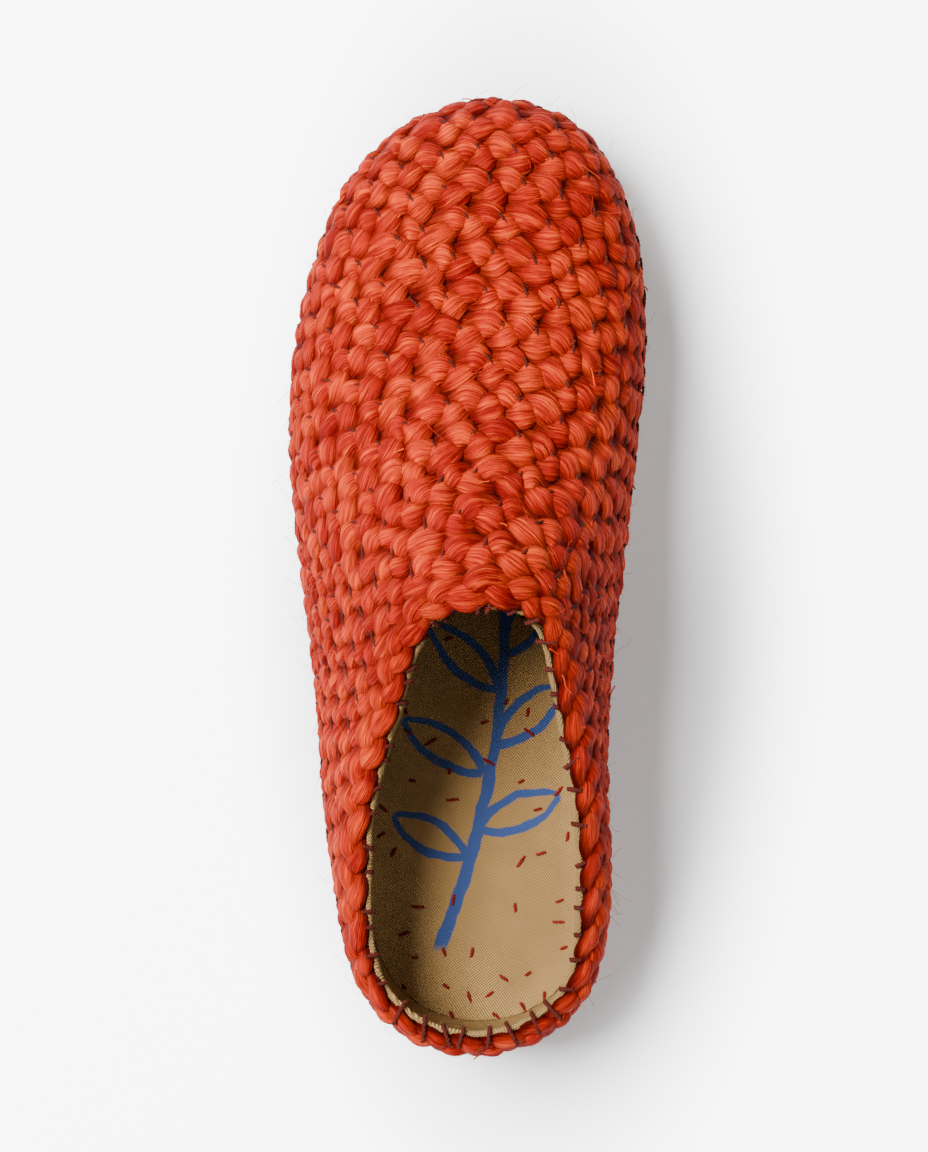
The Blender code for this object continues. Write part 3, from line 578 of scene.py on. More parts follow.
def scaled(nodes, vector, factor):
    """A vector times a number."""
    made = nodes.tree.nodes.new("ShaderNodeVectorMath")
    made.operation = "SCALE"
    nodes.fill(made.inputs[0], vector)
    nodes.fill(made.inputs["Scale"], factor)
    return made.outputs[0]


def wander(nodes, place, scale, reach, detail=2.0, rough=0.5):
    """A smooth random step in any direction."""
    found = nodes.vector("SUBTRACT", noise(nodes, place, scale, detail, rough, output=1), (0.5, 0.5, 0.5))
    return scaled(nodes, found, reach)


def fibre_effect():
    """Streaks along a strand: a mask of dark fibres, and the height of all of them."""
    nodes = effect("fibres", {"Map": ("Vector", None), "Fibres": ("Float", FIBRES_ACROSS),
                              "Length": ("Float", FIBRE_LENGTH)},
                   {"Streak": "Float", "Height": "Float"})
    x, y, z = (nodes.add("ShaderNodeSeparateXYZ", nodes.given["Map"], output=at) for at in range(3))
    along = nodes.math("DIVIDE", x, nodes.given["Length"])
    fine = nodes.add("ShaderNodeCombineXYZ", along, nodes.times(y, nodes.given["Fibres"]), z)
    broad = nodes.add("ShaderNodeCombineXYZ", along, nodes.times(y, nodes.given["Fibres"], BUNDLE), z)
    strands = noise(nodes, fine, 1.0, 2.0, 0.7)
    bundles = noise(nodes, broad, 1.0, 2.0, 0.5)
    height = nodes.plus(nodes.times(strands, 0.6), nodes.times(bundles, 0.4))
    nodes.fill(nodes.out["Streak"], nodes.between(height, STREAK_LOW, STREAK_HIGH))
    nodes.fill(nodes.out["Height"], height)
    return nodes.tree


FIBRES = fibre_effect()


def finish(name, roughness, **fixed):
    """A material with a Principled shader, and its node helper."""
    made = bpy.data.materials.new(name)
    made.use_nodes = True
    nodes = Nodes(made.node_tree)
    nodes.shader = made.node_tree.nodes["Principled BSDF"]
    nodes.shader.inputs["Roughness"].default_value = roughness
    for socket, value in fixed.items():
        nodes.shader.inputs[socket.replace("_", " ")].default_value = value
    return made, nodes


def grouped(nodes, tree, **values):
    """Places an effect in a material and returns its outputs by name."""
    made = nodes.tree.nodes.new("ShaderNodeGroup")
    made.node_tree = tree
    for socket, value in values.items():
        nodes.fill(made.inputs[socket], value)
    return made.outputs


def bump(nodes, height, distance, onto=None):
    """Relief from a height, on top of earlier relief."""
    made = nodes.tree.nodes.new("ShaderNodeBump")
    for socket, value in (("Distance", distance), ("Height", height), ("Normal", onto)):
        nodes.fill(made.inputs[socket], value)
    return made.outputs[0]

# %% Dyed raffia
DARK_LOBE, LOBE, LIGHT_LOBE = (0.27, 0.006, 0.002, 1), (0.42, 0.015, 0.003, 1), (0.54, 0.034, 0.004, 1)
# Painted shade for the creases between lobes is the last colour on the next line; it fades out between the
# two heights on the line after it.
DARK_FIBRE, PALE_FIBRE, CREASE_PAINTED_SHADE = (0.10, 0.001, 0.002, 1), (0.70, 0.095, 0.009, 1), (0.045, 0.0007, 0.001, 1)
CREASE_SHADE_DEEP, CREASE_SHADE_ENDS = -0.0009, 0.0011
FIBRE_RELIEF = 0.0020


def raffia():
    """Orange-red strands: a tone for each lobe, streaks along it, and painted shade in the creases between.
    """
    made, nodes = finish("raffia", 0.62, Specular_IOR_Level=0.04)
    uv = nodes.add("ShaderNodeUVMap", uv_map="fibre")
    strand = nodes.add("ShaderNodeAttribute", attribute_name="strand", output=2)
    tone = nodes.add("ShaderNodeAttribute", attribute_name="tone", output=2)
    depth = nodes.add("ShaderNodeAttribute", attribute_name="depth", output=2)
    place = nodes.vector("ADD", uv, nodes.add("ShaderNodeCombineXYZ", 0.0, 0.0, strand))
    fibres = grouped(nodes, FIBRES, Map=place, Fibres=FIBRES_ACROSS, Length=FIBRE_LENGTH)
    body = nodes.ramp(tone, (0.0, DARK_LOBE), (0.35, LOBE), (1.0, LIGHT_LOBE))
    streaked = nodes.mix(fibres["Streak"], nodes.mix(0.8, body, DARK_FIBRE), body)
    pale = nodes.between(fibres["Height"], 0.54, 0.66, 0.0, 0.6)
    lit = nodes.mix(pale, streaked, PALE_FIBRE)
    # Painted shade: the colour turns to the dark crease red where a strand lies low off the form.
    deep = nodes.between(depth, CREASE_SHADE_DEEP, CREASE_SHADE_ENDS, 0.95, 0.0)
    nodes.fill(nodes.shader.inputs["Base Color"], nodes.mix(deep, lit, CREASE_PAINTED_SHADE))
    nodes.fill(nodes.shader.inputs["Roughness"], nodes.between(fibres["Streak"], 0, 1, 0.75, 0.5))
    nodes.fill(nodes.shader.inputs["Normal"], bump(nodes, fibres["Height"], FIBRE_RELIEF))
    return made


RAFFIA = raffia()
print("finishes so far:", [RAFFIA.name])

# %% [markdown]
# ## The plaits
# Three strands of raffia are plaited into a flat braid, and the braid is sewn round the last in rows.
# A plait follows a rule: each strand swings from side to side while it rises twice as often, a third
# of a turn behind its neighbour. Geometry Nodes are a good home for such a rule, since its sizes stay
# open to change. The script only lays plain tubes along the rows and tells every point where its row
# runs; the tree then swings, lifts and swells them into strands.

# %% The rule of the plait
PERIOD = 3 * CHEVRON
ROW_HALF = ROW_PITCH / 2
WANDER, WANDER_SCALE = 0.0016, 110.0
BULGE_SCALE = 330.0
UNDER_SHARE = 0.6
LATE = 0.9
THICK_SHARE = 0.6


def strayed(nodes, place, fade):
    """A place that wanders a little, because plaits are sewn by hand."""
    return nodes.vector("ADD", place, wander(nodes, place, WANDER_SCALE, nodes.times(WANDER, fade)))


def plait_rule():
    """The tree that turns straight tubes into plaited strands."""
    sizes = {"Swing": 0.52, "Lift": 0.0013, "Sink": 0.0025, "Width": 0.0041, "Thickness": 0.0026,
             "Swell": 0.22, "Pinch": 0.36, "Irregular": 0.13, "Bulge": 0.0003, "Floor": 0.0042}
    nodes = Builder("plait", sizes)
    given = nodes.given
    centre, side = nodes.named("centre", "FLOAT_VECTOR"), nodes.named("side", "FLOAT_VECTOR")
    normal, along = nodes.named("out", "FLOAT_VECTOR"), nodes.named("along", "FLOAT_VECTOR")
    phase, turn = nodes.named("phase"), nodes.named("turn")
    reach = nodes.vector("LENGTH", side, output=0)
    fade = nodes.math("MINIMUM", nodes.math("DIVIDE", reach, ROW_HALF), 1.0)
    swing = nodes.times(nodes.math("COSINE", phase), given["Swing"])
    twice = nodes.math("SINE", nodes.times(phase, 2.0))
    over = nodes.math("MAXIMUM", twice, 0.0)
    under = nodes.math("MINIMUM", twice, 0.0)
    rise = nodes.times(nodes.plus(over, nodes.times(under, UNDER_SHARE)), given["Lift"])
    slope = nodes.times(nodes.math("SINE", phase), given["Swing"], nodes.named("lean"), 2 * math.pi / PERIOD)
    path = nodes.vector("SUBTRACT", along, nodes.vector("MULTIPLY", side, nodes.add(
        "ShaderNodeCombineXYZ", slope, slope, slope)))
    across = nodes.vector("NORMALIZE", nodes.vector("CROSS_PRODUCT", normal, path))
    lobe = nodes.times(nodes.plus(nodes.named("swell"), -0.5), 2.0, given["Irregular"])
    late = nodes.math("SINE", nodes.plus(nodes.times(phase, 2.0), LATE))
    full = nodes.plus(1.0, nodes.times(over, nodes.plus(given["Swell"], lobe)),
                      nodes.times(late, given["Pinch"], 0.5))
    wide = nodes.times(given["Width"], full, fade)
    thick = nodes.times(given["Thickness"], nodes.plus(1.0, nodes.times(over, given["Swell"], THICK_SHARE)),
                        fade)
    height = nodes.times(nodes.plus(rise, nodes.times(given["Sink"], -1.0)), fade)
    outward = nodes.plus(height, nodes.times(nodes.math("SINE", turn), thick))
    sideways = nodes.times(nodes.math("COSINE", turn), wide)
    spot = nodes.vector("ADD", strayed(nodes, centre, fade), scaled(nodes, side, swing))
    spot = nodes.vector("ADD", spot, scaled(nodes, across, sideways))
    rough = nodes.plus(noise(nodes, spot, BULGE_SCALE, 2.0, 0.5), -0.5)
    lifted = nodes.plus(outward, nodes.times(rough, 2.0, given["Bulge"], fade))
    lifted = nodes.math("MAXIMUM", lifted, nodes.times(given["Floor"], -1.0))
    spot = nodes.vector("ADD", spot, scaled(nodes, normal, lifted))
    nodes.geometry = nodes.add("GeometryNodeSetPosition", nodes.geometry, None, spot)
    # The height off the form is kept as depth, so the raffia finish can paint shade where a strand lies low.
    nodes.store("depth", lifted)
    nodes.finish(RAFFIA)
    return nodes


PLAIT = plait_rule()

# %% The course of a row
STEPS_PER_PERIOD, LEAST_STEPS = 30, 6
RIM_TURN, RIM_FULL, RIM_DEPTH = 0.08, 0.0006, 0.0030
DRIFT = 0.2


class Row:
    """The course of one row of plait, with the places where its strands cross."""

    def __init__(self, number, way):
        random = np.random.default_rng(number)
        self.number = number
        self.way = way
        self.start, self.end = last.span(number)
        self.closed = number < HEEL_ROWS
        length = last.spaced(self.middle, self.start, self.end, 2)[1]
        self.periods = length / PERIOD
        if self.closed:
            self.periods = max(1, round(self.periods))
        self.steps = max(LEAST_STEPS, round(self.periods * STEPS_PER_PERIOD))
        self.u = last.spaced(self.middle, self.start, self.end, self.steps)[0]
        self.length = length
        self.share = np.arange(self.steps + 1) / self.steps
        self.base = way * 2 * math.pi * self.periods * self.share
        waves = range(2, 2 + 2 * math.ceil(self.periods))
        for wave in waves:
            turn = 2 * math.pi * (wave * self.share + random.random())
            self.base += DRIFT * random.normal() / math.sqrt(len(waves)) * np.sin(turn)

    def at(self, shares):
        """The row's frames at shares of its length."""
        frames = self.frames(self.u)
        return [np.stack([np.interp(shares, self.share, part[:, axis]) for axis in range(3)], axis=1)
                for part in frames]

    def depth(self, u):
        """How much of a whole row there is room for."""
        return np.clip(last.rows_at(u) - self.number, 0, 1)

    def middle(self, u):
        """The middle of the row, counted in rows from the collar."""
        return self.number + 0.5 * self.depth(u)

    def frames(self, u):
        """The middle of the row with its side, out and forward directions."""
        high = last.point(u, self.number + 0 * u)
        low = last.point(u, self.number + self.depth(u))
        out = last.normal_at(u, self.middle(u))
        centre = last.point(u, self.middle(u))
        if self.number == 0:
            high = last.point(u, 0 * u - RIM_TURN, -RIM_DEPTH)
            centre = (high + low) / 2 + out * RIM_FULL
            over = np.cross(low - high, np.gradient(centre, axis=0))
            out = over / np.linalg.norm(over, axis=1)[:, None]
            out *= np.sign(out[:, 2:])
        side = (low - high) / 2
        along = np.gradient(centre, axis=0)
        if self.closed:
            along[0] = along[-1] = centre[1] - centre[-2]
        along -= out * np.sum(along * out, axis=1)[:, None]
        along /= np.maximum(np.linalg.norm(along, axis=1), 1e-9)[:, None]
        return centre, side, out, along


ROWS = [Row(number, -1 if number < HEEL_ROWS else 1) for number in range(last.rows)]
print("plait:", round(sum(row.length for row in ROWS), 2), "m in", len(ROWS), "rows")

# %% Tubes along the rows
RING = 12
STRAND_SHIFT, STRAND_WRAP = 0.001, 97
RULE_KEYS = ("centre", "side", "out", "along", "phase", "turn", "swell", "lean")


def strand_tubes(name, rows, seed):
    """Plain tubes, three to a row, whose points carry what the rule of the plait asks for."""
    random = np.random.default_rng(seed)
    kept = {key: [] for key in (*RULE_KEYS, "tone", "strand")}
    faces, corners = [], []
    total = 0
    for row in rows:
        count = row.steps + (0 if row.closed else 1)
        centre, side, out, along = (part[:count] for part in row.frames(row.u))
        for strand in range(3):
            phase = row.base[:count] + 2 * math.pi * strand / 3
            lobes = np.floor(phase / (math.pi / 2)).astype(int)
            lobes -= lobes.min()
            swell, tone = random.random(lobes.max() + 1), random.random(lobes.max() + 1)
            for key, values in (("centre", centre), ("side", side), ("out", out), ("along", along),
                                ("phase", phase), ("swell", swell[lobes]), ("tone", tone[lobes]),
                                ("strand", np.full(count, total * STRAND_SHIFT % STRAND_WRAP)),
                                ("lean", np.full(count, float(row.way)))):
                kept[key].append(np.repeat(values, RING, axis=0))
            kept["turn"].append(np.tile(np.arange(RING) / RING * 2 * math.pi - math.pi / 2, count))
            grid = total + np.arange(count * RING).reshape(count, RING)
            for k in range(count - 1 + row.closed):
                after = (k + 1) % count
                for j in range(RING):
                    nxt = (j + 1) % RING
                    faces.append((grid[k, j], grid[k, nxt], grid[after, nxt], grid[after, j]))
                    low, high = k * PERIOD / STEPS_PER_PERIOD, (k + 1) * PERIOD / STEPS_PER_PERIOD
                    corners += [(low, j / RING), (low, (j + 1) / RING), (high, (j + 1) / RING),
                                (high, j / RING)]
            if not row.closed:
                for ring in (grid[0][::-1], grid[-1]):
                    faces.append(tuple(ring))
                    corners += [(0.0, 0.0)] * RING
            total += count * RING
    mesh = bpy.data.meshes.new(name)
    mesh.from_pydata(np.concatenate(kept["centre"]).tolist(), [], [tuple(map(int, face)) for face in faces])
    carried(mesh, {key: np.concatenate(values) for key, values in kept.items()})
    mesh.uv_layers.new(name="fibre").data.foreach_set("uv", np.array(corners, np.float32).ravel())
    return mesh

# %% The plaits, from the rim to the toe


def plait(name, rows, seed, **sizes):
    """A piece of plait, ready to show."""
    item = PLAIT.apply(name, strand_tubes(name, rows, seed), sizes)
    for key in RULE_KEYS:
        item.data.attributes.remove(item.data.attributes[key])
    item.data.shade_smooth()
    return item


TOE_ROWS = (HEEL_ROWS + len(ROWS)) // 2
plaits = [
    plait("plait_rim", ROWS[:1], 5, Floor=0.0026, Width=0.0031, Thickness=0.0026, Sink=0.0018),
    plait("plaits_collar", ROWS[1:HEEL_ROWS], 11),
    plait("plaits_instep", ROWS[HEEL_ROWS:TOE_ROWS], 23),
    plait("plaits_toe", ROWS[TOE_ROWS:], 29),
]

# %% [markdown]
# ## Sole
# The outsole and the midsole already have the right shape, so they keep their meshes and only get
# finishes. Crepe rubber is amber with a pale crumb, and it turns tan where the ground scuffs it. The
# foam has a pebbled skin with small pits, which are coloured darker as painted shade. Noises read at the
# object's own coordinates draw both, since the solids carry no map that a picture could be laid on.

# %% Finishes of the sole
CRUMB, CRUMB_RELIEF = 1100.0, 0.0005
CLOUDS, CLOUD_RELIEF = 70.0, 0.0008
SCUFF_LOW, SCUFF_HIGH = 0.0008, 0.0026
PEBBLES, PEBBLE_RELIEF, FOAM_CLOUDS = 480.0, 0.0016, 60.0


def plain(name, colour, roughness, scale, relief):
    """A matt finish of one colour with a fine grain."""
    made, nodes = finish(name, roughness, Specular_IOR_Level=0.05)
    place = nodes.add("ShaderNodeTexCoord", output=3)
    grain = noise(nodes, place, scale, 4.0, 0.6)
    nodes.fill(nodes.shader.inputs["Base Color"], nodes.mix(
        nodes.between(grain, 0.35, 0.7), tuple(c * 0.8 for c in colour) + (1,), colour + (1,)))
    nodes.fill(nodes.shader.inputs["Normal"], bump(nodes, grain, relief))
    return made


def crepe():
    """Amber crepe rubber with pale specks, tan where it is scuffed by the ground."""
    made, nodes = finish("crepe", 0.5, Specular_IOR_Level=0.3)
    place = nodes.add("ShaderNodeTexCoord", output=3)
    y, z = (nodes.add("ShaderNodeSeparateXYZ", place, output=at) for at in (1, 2))
    toe = nodes.between(y, SPRING_START - HEEL_TO_ORIGIN, LENGTH - HEEL_TO_ORIGIN)
    above = nodes.plus(z, nodes.times(toe, toe, -TOE_SPRING))
    cloud, speck = noise(nodes, place, CLOUDS, 4.0, 0.6), noise(nodes, place, CRUMB, 3.0, 0.7)
    amber = nodes.mix(cloud, (0.36, 0.165, 0.018, 1), (0.52, 0.270, 0.038, 1))
    scuffed = nodes.mix(cloud, (0.27, 0.145, 0.055, 1), (0.40, 0.235, 0.100, 1))
    colour = nodes.mix(nodes.between(above, SCUFF_LOW, SCUFF_HIGH), scuffed, amber)
    colour = nodes.mix(nodes.between(speck, 0.58, 0.70, 0.0, 0.7), colour, (0.68, 0.50, 0.26, 1))
    colour = nodes.mix(nodes.between(speck, 0.42, 0.32, 0.0, 0.45), colour, (0.24, 0.12, 0.035, 1))
    nodes.fill(nodes.shader.inputs["Base Color"], colour)
    waves = bump(nodes, cloud, CLOUD_RELIEF)
    nodes.fill(nodes.shader.inputs["Normal"], bump(nodes, speck, CRUMB_RELIEF, onto=waves))
    return made


def foam():
    """White foam with a pebbled skin, and painted shade in its pits."""
    made, nodes = finish("foam", 0.9, Specular_IOR_Level=0.15)
    place = nodes.add("ShaderNodeTexCoord", output=3)
    pebbles = noise(nodes, place, PEBBLES, 3.0, 0.65)
    cloud = noise(nodes, place, FOAM_CLOUDS, 3.0, 0.6)
    white = nodes.mix(cloud, (0.54, 0.49, 0.39, 1), (0.66, 0.61, 0.51, 1))
    # Painted shade: the pits are coloured darker, from the same noise that sinks them.
    painted_pit_shade = nodes.between(pebbles, 0.48, 0.34, 0.0, 0.6)
    nodes.fill(nodes.shader.inputs["Base Color"], nodes.mix(painted_pit_shade, white, (0.42, 0.37, 0.29, 1)))
    nodes.fill(nodes.shader.inputs["Normal"], bump(nodes, pebbles, PEBBLE_RELIEF))
    return made


CREPE, FOAM = crepe(), foam()
for node, made in (("outsole", CREPE), ("midsole", FOAM)):
    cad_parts[node].data.materials.clear()
    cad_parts[node].data.materials.append(made)
print("sole finishes:", CREPE.name, FOAM.name)

# %% Thread, loose raffia and backing
THREAD = plain("thread", (0.070, 0.012, 0.009), 0.85, 2500.0, 0.0002)
RED_THREAD = plain("red_thread", (0.17, 0.012, 0.009), 0.85, 2500.0, 0.0002)
HAIR = plain("loose_raffia", (0.60, 0.040, 0.006), 0.7, 900.0, 0.0001)
# The backing's dark red is painted shade, for the gaps between strands.
BACKING_PAINTED_SHADE = plain("backing_painted_shade", (0.14, 0.006, 0.006), 0.9, 1200.0, 0.0003)
print("plain finishes:", [made.name for made in (THREAD, RED_THREAD, HAIR, BACKING_PAINTED_SHADE)])

# %% [markdown]
# ## Canvas
# The lining and the insole are cut from the same tan twill. Twill shows slanting ribs about half a
# millimetre apart, which two crossed waves draw well enough at this size. The insole also carries a
# blue sprig, painted with a brush. Each stroke of the brush is one bent line, so one small effect
# makes the stem and all the leaves.

# %% Twill and brush
TWILL = 0.00062
RIB_SHARE, THREAD_SHARE = 0.32, 0.18
WEAVE_STRAY, WEAVE_STRAY_SCALE = 0.0006, 260.0
SOFT_EDGE = (-0.0001, 0.0002)


def twill_effect():
    """The ribs of a twill: their height and a soft unevenness of the cloth."""
    nodes = effect("twill", {"Place": ("Vector", None), "Pitch": ("Float", TWILL),
                             "Rise": ("Float", 0.0)},
                   {"Height": "Float", "Shade": "Float"})
    place = nodes.given["Place"]
    woven = nodes.vector("ADD", place, wander(nodes, place, WEAVE_STRAY_SCALE, WEAVE_STRAY))
    x, y, z = (nodes.add("ShaderNodeSeparateXYZ", woven, output=at) for at in range(3))
    rate = nodes.math("DIVIDE", 2 * math.pi, nodes.given["Pitch"])
    z = nodes.times(z, nodes.given["Rise"])
    ribs, threads = (nodes.math("SINE", nodes.times(nodes.plus(nodes.times(x, over), nodes.times(y, up), z),
                                                    rate)) for over, up in ((0.8, 0.6), (0.6, -0.8)))
    height = nodes.plus(0.5, nodes.times(ribs, RIB_SHARE), nodes.times(threads, THREAD_SHARE))
    nodes.fill(nodes.out["Height"], height)
    nodes.fill(nodes.out["Shade"], noise(nodes, place, 90.0, 4.0, 0.6))
    return nodes.tree


def stroke_effect():
    """A mask of one stroke of the brush from one point to another, bent and tapered at its end."""
    nodes = effect("stroke", {"Place": ("Vector", None), "Start": ("Vector", None), "End": ("Vector", None),
                              "Bend": ("Float", 0.0), "Width": ("Float", 0.003), "Taper": ("Float", 0.5)},
                   {"Mask": "Float"})
    given = nodes.given
    run = nodes.vector("SUBTRACT", given["End"], given["Start"])
    long = nodes.vector("LENGTH", run, output=0)
    way = nodes.vector("NORMALIZE", run)
    offset = nodes.vector("SUBTRACT", given["Place"], given["Start"])
    share = nodes.math("DIVIDE", nodes.vector("DOT_PRODUCT", offset, way, output=0), long)
    across = nodes.vector("DOT_PRODUCT", offset, nodes.vector("CROSS_PRODUCT", way, (0, 0, 1)), output=0)
    bow = nodes.times(given["Bend"], 4.0, share, nodes.plus(1.0, nodes.times(share, -1.0)))
    away = nodes.math("ABSOLUTE", nodes.plus(across, nodes.times(bow, -1.0)))
    half = nodes.times(given["Width"], 0.5, nodes.plus(1.0, nodes.times(share, given["Taper"], -1.0)))
    edge = nodes.between(nodes.plus(half, nodes.times(away, -1.0)), *SOFT_EDGE)
    inside = nodes.times(nodes.between(share, -0.01, 0.01), nodes.between(share, 1.01, 0.97))
    nodes.fill(nodes.out["Mask"], nodes.times(edge, inside))
    return nodes.tree


TWILL_EFFECT = twill_effect()
STROKE = stroke_effect()

# %% Canvas finishes
# Start and end across and along the insole, then the bend, width and taper of the stroke
STEM = ((-0.010, -0.008), (0.007, 0.118), 0.008, 0.0040, 0.35)
# Foot and tip of each leaf
LEAVES = (
    ((-0.002, 0.018), (-0.024, 0.030)), ((0.001, 0.026), (0.025, 0.036)), ((0.003, 0.042), (-0.021, 0.058)),
    ((0.006, 0.050), (0.026, 0.068)), ((0.007, 0.066), (-0.013, 0.086)), ((0.009, 0.076), (0.022, 0.098)),
)
LEAF_BEND, LEAF_STROKE, LEAF_TAPER = 0.0046, 0.0030, 0.35
LEAF_SIDES = [(*leaf, side * LEAF_BEND, LEAF_STROKE, LEAF_TAPER) for leaf in LEAVES for side in (-1, 1)]
DARK_TAN, TAN, WORN_TAN = (0.18, 0.096, 0.030, 1), (0.54, 0.325, 0.118, 1), (0.18, 0.105, 0.04, 1)
PAINT = (0.006, 0.065, 0.25, 1)
BRUSH_STRAY, BRUSH_STRAY_SCALE = 0.0022, 140.0
TWILL_RELIEF = 0.0006


def canvas(name, rise, strokes=()):
    """The tan twill, with strokes of blue paint on it."""
    made, nodes = finish(name, 0.92, Specular_IOR_Level=0.15)
    place = nodes.add("ShaderNodeTexCoord", output=3)
    twill = grouped(nodes, TWILL_EFFECT, Place=place, Rise=rise)
    tan = nodes.mix(twill["Height"], DARK_TAN, TAN)
    colour = nodes.mix(nodes.between(twill["Shade"], 0.3, 0.7), nodes.mix(0.3, tan, WORN_TAN), tan)
    if strokes:
        brushed = nodes.vector("ADD", place, wander(nodes, place, BRUSH_STRAY_SCALE, BRUSH_STRAY, 3.0, 0.6))
        flat = nodes.vector("MULTIPLY", brushed, (1, 1, 0))
        painted = 0.0
        for start, end, bend, width, taper in strokes:
            found = grouped(nodes, STROKE, Place=flat, Start=(*start, 0), End=(*end, 0), Bend=bend,
                            Width=width, Taper=taper)["Mask"]
            painted = nodes.math("MAXIMUM", painted, found)
        grip = nodes.times(painted, nodes.between(twill["Height"], 0.0, 0.45, 0.55, 0.95))
        colour = nodes.mix(grip, colour, PAINT)
    nodes.fill(nodes.shader.inputs["Base Color"], colour)
    nodes.fill(nodes.shader.inputs["Normal"], bump(nodes, twill["Height"], TWILL_RELIEF))
    return made


CANVAS = canvas("canvas", 1.0)
PAINTED = canvas("painted_canvas", 0.0, (STEM, *LEAF_SIDES))
print("strokes of the brush:", 1 + len(LEAF_SIDES))

# %% [markdown]
# ## Backing and lining
# Under the plaits lies the raffia's own back, and inside it the canvas lining, whose edge is turned
# over at the collar. The back is coloured a dark red, which paints the shade seen in the gaps between
# strands. A cloth simulation could drape the lining, but it is sewn tight against the wall, so both
# follow the last as thin closed shells. A hem makes the turned edge thicker.

# %% Shells that follow the last
SHELL_POINTS = 360
SHELL_LINES = 44
BACKING_DEPTH, BACKING_THICK, BACKING_TOP = 0.0034, 0.0018, 0.5
LINING_DEPTH, LINING, LINING_TOP = 0.0048, 0.0006, 0.05
HEM, HEM_HIGH, ROWS_DEEP = 0.0006, 0.0022, 10
EDGE_WAVE = 0.00035
SLOW_WAVES, FAST_WAVES = 19, 31


def placed(name, made, finish_of):
    """A piece from a bmesh, smooth and with its finish."""
    mesh = bpy.data.meshes.new(name)
    made.to_mesh(mesh)
    made.free()
    mesh.materials.append(finish_of)
    mesh.shade_smooth()
    counted(name, mesh)
    return shown(name, mesh)


def shell(name, depth, thickness, top, hem, finish_of):
    """A closed shell at a depth under the form, with a hem along its top edge."""
    u = np.arange(SHELL_POINTS) / SHELL_POINTS
    turn = 2 * math.pi * u
    edge = top + EDGE_WAVE / ROW_PITCH * (np.sin(SLOW_WAVES * turn) + np.sin(FAST_WAVES * turn + 1))
    shares = np.linspace(0, 1, SHELL_LINES + 1) ** 2
    lines = [last.point(u, edge - hem / ROW_PITCH, -depth)]
    for way, run in ((1, shares), (-1, shares[::-1])):
        for share in run:
            row = edge * (1 - share) + last.rows_at(u) * share
            full = thickness / 2 + hem * math.exp(-(share * ROWS_DEEP * ROW_PITCH / HEM_HIGH) ** 2)
            lines.append(last.point(u, row, way * full - depth))
    made = bmesh.new()
    verts = [[made.verts.new(point) for point in line] for line in lines]
    for near, far in zip(verts, verts[1:] + verts[:1]):
        for j in range(SHELL_POINTS):
            k = (j + 1) % SHELL_POINTS
            made.faces.new((near[j], near[k], far[k], far[j]))
    bmesh.ops.recalc_face_normals(made, faces=made.faces)
    return placed(name, made, finish_of)


# The backing under the plaits is dark red as painted shade in the gaps between strands.
backing_painted_shade = shell("raffia_backing_painted_shade", BACKING_DEPTH, BACKING_THICK, BACKING_TOP, 0.0, BACKING_PAINTED_SHADE)
lining = shell("canvas_lining", LINING_DEPTH, LINING, LINING_TOP, HEM, CANVAS)

# %% [markdown]
# ## Insole
# The insole is a padded board under canvas. The canvas turns up where it meets the wall, so its edge
# is cupped and no gap shows. It is laid out as a grid between its two sides, because a fan of faces
# round a middle would show in the soft shading.

# %% A padded insole
CUP = 0.0026
CUP_REACH = 0.008
PAD_FOOT, PAD_BELOW = 0.0004, 0.0002
WALL_SHARE, WALL_STEPS = 0.5, 80
INSOLE_ROWS, INSOLE_COLUMNS = 130, 44


def wall_loop(rise):
    """The line on the inside of the lining at a height above the midsole."""
    u = np.arange(RAYS) / RAYS
    depth = -LINING_DEPTH - LINING / 2 - GAP
    line = np.array([last.point(u, last.rows_at(u) * (1 - share), depth)
                     for share in np.linspace(0, WALL_SHARE, WALL_STEPS)])
    above = line[:, :, 2] - lift(line[:, :, 1] + HEEL_TO_ORIGIN) - OUTSOLE - MIDSOLE - GAP - rise
    at = np.maximum(np.argmax(above > 0, axis=0), 1)
    ray = np.arange(RAYS)
    share = np.clip(-above[at - 1, ray] / (above[at, ray] - above[at - 1, ray]), 0, 1)[:, None]
    return line[at - 1, ray] * (1 - share) + line[at, ray] * share


def across(loop):
    """A grid of places between the two sides of a loop, from heel to toe."""
    from_heel = np.roll(loop, -int(np.argmin(loop[:, 1])), axis=0)
    toe = int(np.argmax(from_heel[:, 1]))
    outer, inner = from_heel[:toe + 1], np.vstack([from_heel[toe:], from_heel[:1]])[::-1]
    back, front = from_heel[0, 1], from_heel[toe, 1]
    y = (front + back) / 2 - (front - back) / 2 * np.cos(np.linspace(0, math.pi, INSOLE_ROWS + 1))
    left, right = (np.interp(y, side[:, 1], side[:, 0]) for side in (outer, inner))
    share = 0.5 - 0.5 * np.cos(np.linspace(0, math.pi, INSOLE_COLUMNS + 1))
    x = left[:, None] * (1 - share) + right[:, None] * share
    return np.stack([x, np.repeat(y[:, None], INSOLE_COLUMNS + 1, axis=1)], axis=2)


